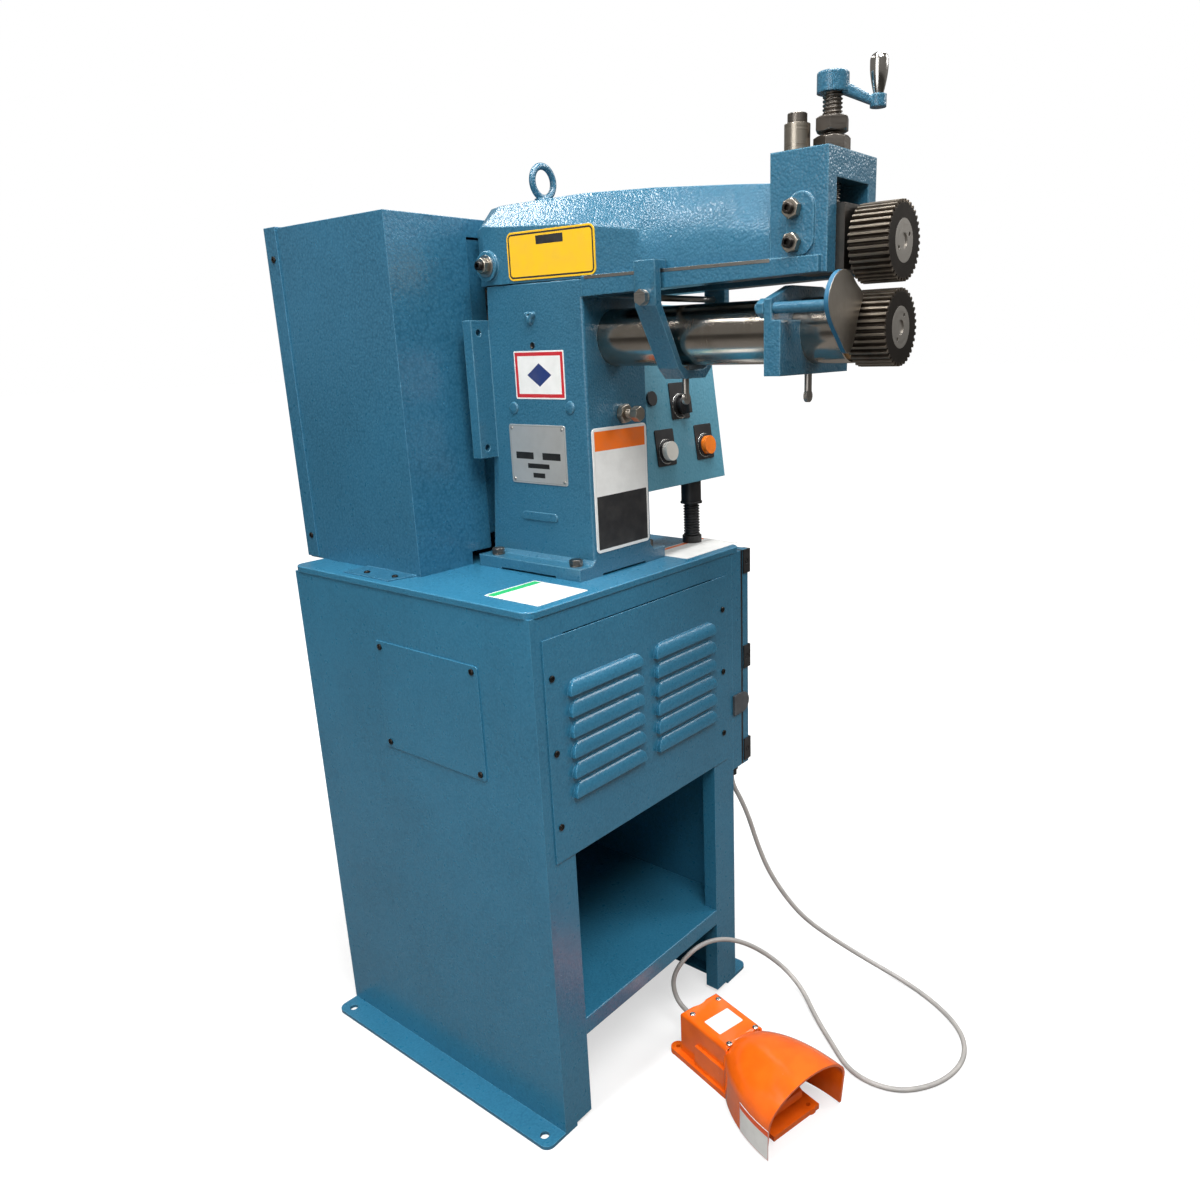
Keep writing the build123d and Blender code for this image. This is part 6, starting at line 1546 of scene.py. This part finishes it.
@dataclass
class Studio:
    """Camera, floor, backdrop and lights.

    Attributes:
        place: The camera's place.
        axes: Its right, up and backward directions, as columns.
        reach: Half side of the floor, in metres.
    """

    place: tuple = (-1.0023, -1.0951, 1.1290)
    axes: tuple = ((0.6108, 0.2393, -0.7548), (-0.7913, 0.1510, -0.5925), (-0.0278, 0.9591, 0.2816))
    reach: float = 40.0

    def camera(self) -> None:
        """Adds the camera."""
        data = bpy.data.cameras.new("camera")
        data.lens = 28.0
        data.sensor_width = 36.0
        data.shift_x = -0.0572
        data.shift_y = 0.0168
        data.dof.use_dof = False
        data.clip_end = 100.0
        made = placed("camera", data)
        made.matrix_world = Matrix.Translation(self.place) @ Matrix(self.axes).to_4x4()
        bpy.context.scene.camera = made

    def floor(self) -> bpy.types.Object:
        """Returns a pale floor that keeps the object's shadow and is white elsewhere.

        Its glow, for the camera only, grows with the distance from the machine.
        To other rays it is a grey cloth.
        """
        mesh = bpy.data.meshes.new("floor")
        far = self.reach
        mesh.from_pydata([(-far, -far, 0), (far, -far, 0), (far, far, 0), (-far, far, 0)], [], [(0, 1, 2, 3)])
        floor = placed("floor", mesh)
        floor.location.z = -0.0003
        shader = Shader("floor_paint")
        seen = shader.node("LightPath").outputs["Is Camera Ray"]
        away = shader.node("VectorMath", {"Vector": shader.place()}, operation="LENGTH").outputs["Value"]
        strength = shader.span(away, 0.5, 1.5, 0.6, 1.0)
        glow = shader.node("Emission", {"Color": (1.0, 1.0, 1.0), "Strength": strength}).outputs["Emission"]
        paper = shader.node("BsdfDiffuse", {"Color": (0.42, 0.42, 0.42)}).outputs["BSDF"]
        cloth = shader.node("BsdfDiffuse", {"Color": (0.2, 0.19, 0.18)}).outputs["BSDF"]
        lit = shader.node("AddShader", {0: paper, 1: glow}).outputs["Shader"]
        mixed = shader.node("MixShader", {0: seen, 1: cloth, 2: lit}).outputs["Shader"]
        shader.feed(shader.output.inputs["Surface"], mixed)
        mesh.materials.append(shader.material)
        return floor

    def lamp(self, name: str, place: Point, aim: Point, size: Point, power: float) -> bpy.types.Object:
        """Returns a soft rectangular lamp.

        Args:
            name: Its name.
            place: Where it hangs.
            aim: The point it faces.
            size: Its width and height.
            power: Power in watts.

        Returns:
            The lamp.
        """
        data = bpy.data.lights.new(name, "AREA")
        data.shape = "RECTANGLE"
        data.size, data.size_y = size
        data.energy = power
        made = placed(name, data)
        made.location = place
        made.rotation_mode = "QUATERNION"
        made.rotation_quaternion = (Vector(aim) - Vector(place)).to_track_quat("-Z", "Y")
        return made

    def world(self) -> None:
        """Sets the surroundings: white to the camera, a dim warm room to everything else."""
        world = bpy.data.worlds.new("surroundings")
        bpy.context.scene.world = world
        world.use_nodes = True
        tree = world.node_tree
        tree.nodes.clear()
        output, path, room, backdrop, mix = (
            tree.nodes.new("ShaderNode" + kind)
            for kind in ("OutputWorld", "LightPath", "Background", "Background", "MixShader")
        )
        room.inputs["Color"].default_value = (1.0, 0.96, 0.9, 1.0)
        room.inputs["Strength"].default_value = 0.2
        backdrop.inputs["Color"].default_value = (1.0, 1.0, 1.0, 1.0)
        tree.links.new(path.outputs["Is Camera Ray"], mix.inputs["Fac"])
        tree.links.new(room.outputs["Background"], mix.inputs[1])
        tree.links.new(backdrop.outputs["Background"], mix.inputs[2])
        tree.links.new(mix.outputs["Shader"], output.inputs["Surface"])

    def build(self) -> None:
        """Sets the whole studio up."""
        self.camera()
        self.world()
        middle = (0.0, -0.1, 0.8)
        self.floor()
        self.lamp("key", (-0.9, -1.7, 3.3), middle, (1.5, 1.5), 82.0)
        self.lamp("left_fill", (-3.4, -0.5, 1.5), middle, (2.0, 2.0), 32.0)
        self.lamp("right_fill", (2.2, -2.2, 2.7), (0.1, -0.3, 0.7), (1.4, 1.4), 42.0)
        self.lamp("rear_strip", (-0.45, 1.25, 2.8), (0.0, -0.3, 1.2), (2.4, 0.1), 16.0)
        self.lamp("left_tube", (-0.8, -0.2, 3.0), (-0.4, -0.2, 0.5), (0.12, 2.6), 56.0)
        self.lamp("right_tube", (0.9, -0.2, 3.0), (0.3, -0.2, 0.8), (0.12, 2.6), 26.0)
        bpy.context.scene.view_settings.view_transform = "Standard"


def finishes() -> list[object]:
    """Returns every finish of the machine."""
    white, black = (0.82, 0.82, 0.8), (0.02, 0.02, 0.022)
    sheet = ((0.019, 0.145, 0.255), (0.055, 0.25, 0.4), 0.0036, 0.00018)
    guard = ((0.014, 0.108, 0.195), (0.065, 0.23, 0.36), 0.0042, 0.0002)
    cast = ((0.02, 0.12, 0.205), (0.08, 0.235, 0.335), 0.0032, 0.00035, 0.0026, 0.0008, 0.35, 0.6)
    bars = (
        (-0.027, -0.002, 0.018, 0.005),
        (0.027, -0.002, 0.018, 0.005),
        (0.0, -0.0165, 0.022, 0.0035),
        (0.0, -0.03, 0.012, 0.0035),
    )
    orange, red, green = (0.9, 0.17, 0.01), (0.85, 0.16, 0.02), (0.02, 0.42, 0.13)
    return [
        Hammertone("sheet_enamel", *sheet, 0.0014, contrast=0.5),
        Hammertone("guard_enamel", *guard, 0.0016, contrast=0.5),
        Hammertone("control_enamel", (0.08, 0.27, 0.37), (0.14, 0.36, 0.47), 0.0042, 0.0002, 0.0014),
        Hammertone("cast_enamel", *cast),
        Hammertone("cabinet_paint", *sheet),
        Steel("tube_steel", (0.5, 0.46, 0.41), 0.15, Axis.Y, 0.0006, (0.2, 0.14, 0.08), 0.4),
        Steel("polished_steel", (0.62, 0.6, 0.57), 0.14, Axis.Y, 0.0005, (0.2, 0.14, 0.09), 0.22),
        Steel("machined_steel", (0.46, 0.44, 0.41), 0.3, Axis.Z, 0.0005),
        Steel("dark_steel", (0.2, 0.18, 0.16), 0.34, Axis.Z, 0.0008),
        Steel("warm_steel", (0.42, 0.38, 0.32), 0.3, Axis.Z, 0.0006),
        Steel("retainer_steel", (0.4, 0.38, 0.35), 0.4, Axis.Y, 0.0006, faced=True),
        Steel("zinc_plate", (0.62, 0.62, 0.6), 0.2, Axis.Z, 0.0004),
        Steel("black_oxide", (0.04, 0.038, 0.036), 0.34, Axis.Z, 0.0004),
        Steel("cast_iron", (0.1, 0.1, 0.105), 0.5, Axis.Z, 0.002),
        Steel("block_iron", (0.075, 0.072, 0.066), 0.4, Axis.Z, 0.001),
        Steel("bush_bronze", (0.55, 0.36, 0.16), 0.3, Axis.Y, 0.0005),
        FacedPlate("gauge_face", -0.6013, (0.36, 0.33, 0.29), (0.02, 0.13, 0.24)),
        *(RollSteel(name + "_roll_steel", height) for name, height in zip(("upper", "lower"), ROLL_HEIGHTS)),
        Enamel("motor_paint", (0.09, 0.1, 0.11), (0.12, 0.13, 0.14), 0.35),
        Enamel("dark_grey_paint", (0.05, 0.055, 0.06), (0.09, 0.1, 0.11), 0.35),
        Enamel("orange_enamel", (0.93, 0.15, 0.008), (0.82, 0.12, 0.006), 0.2, 0.00003, 0.006, 0.6),
        Enamel("black_plastic", (0.012, 0.012, 0.013), (0.025, 0.025, 0.027), 0.38),
        Enamel("switch_plastic", (0.3, 0.3, 0.31), (0.25, 0.25, 0.26), 0.45),
        Enamel("cable_grey", (0.42, 0.4, 0.38), (0.34, 0.33, 0.32), 0.34),
        Enamel("button_white", (0.78, 0.76, 0.7), (0.7, 0.68, 0.62), 0.2, 0.00001, 0.003, 0.5),
        Enamel("button_amber", (0.95, 0.24, 0.01), (0.8, 0.16, 0.01), 0.2, 0.00001, 0.003, 0.5),
        Enamel("belt_rubber", (0.015, 0.015, 0.015), (0.03, 0.03, 0.03), 0.6),
        Plate(
            "plate_yellow", (0.86, 0.5, 0.015), black,
            inset=0.0024, width=0.0024, block=black, bars=((0.0, 0.0185, 0.024, 0.0055),), corner=0.009,
        ),
        Plate(
            "plate_metal", (0.62, 0.62, 0.6), (0.3, 0.3, 0.29),
            width=0.0004, block=(0.03, 0.03, 0.03), bars=bars, metallic=0.6,
        ),
        Plate(
            "plate_front", white, (0.6, 0.6, 0.58),
            inset=0.0042, width=0.0005, header=orange, header_share=0.18, block=black, block_share=0.46,
        ),
        Plate("sticker_green", white, (0.55, 0.6, 0.55), header=green, header_share=0.16),
        Plate("sticker_white", white, (0.6, 0.6, 0.6), header=red, header_share=0.14),
        Plate(
            "sticker_lozenge", white, (0.55, 0.02, 0.03),
            width=0.005, motif=Motif.LOZENGE, motif_size=0.016,
        ),
        Plate("sticker_foot", white, (0.75, 0.75, 0.74), inset=0.0012, width=0.0003),
        Plate(
            "sticker_side", white, (0.7, 0.05, 0.05),
            inset=0.0008, width=0.0006, header=(0.85, 0.1, 0.01), header_share=0.2,
        ),
    ]


def main() -> None:
    """Builds the studio and each sub-assembly in order."""
    logging.basicConfig(level=logging.INFO, format="%(message)s")
    shop = Workshop(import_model())
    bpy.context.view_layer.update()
    shop.prepare(*finishes())
    for part in shop.frame["record"]["subparts"]:
        if part["material_slot"] in shop.finishes:
            shop.dress(part["material_slot"], part["node"])
    for section in (
        Cabinet, TopLabels, Guard, Casting, Fasteners, RollHead,
        CrankDrive, Gauge, Controls, DriveTrain, FootSwitch, Cable,
    ):
        section(shop).build()
        log.info("built %s", section.__name__)
    Studio().build()


if __name__ == "__main__":
    main()
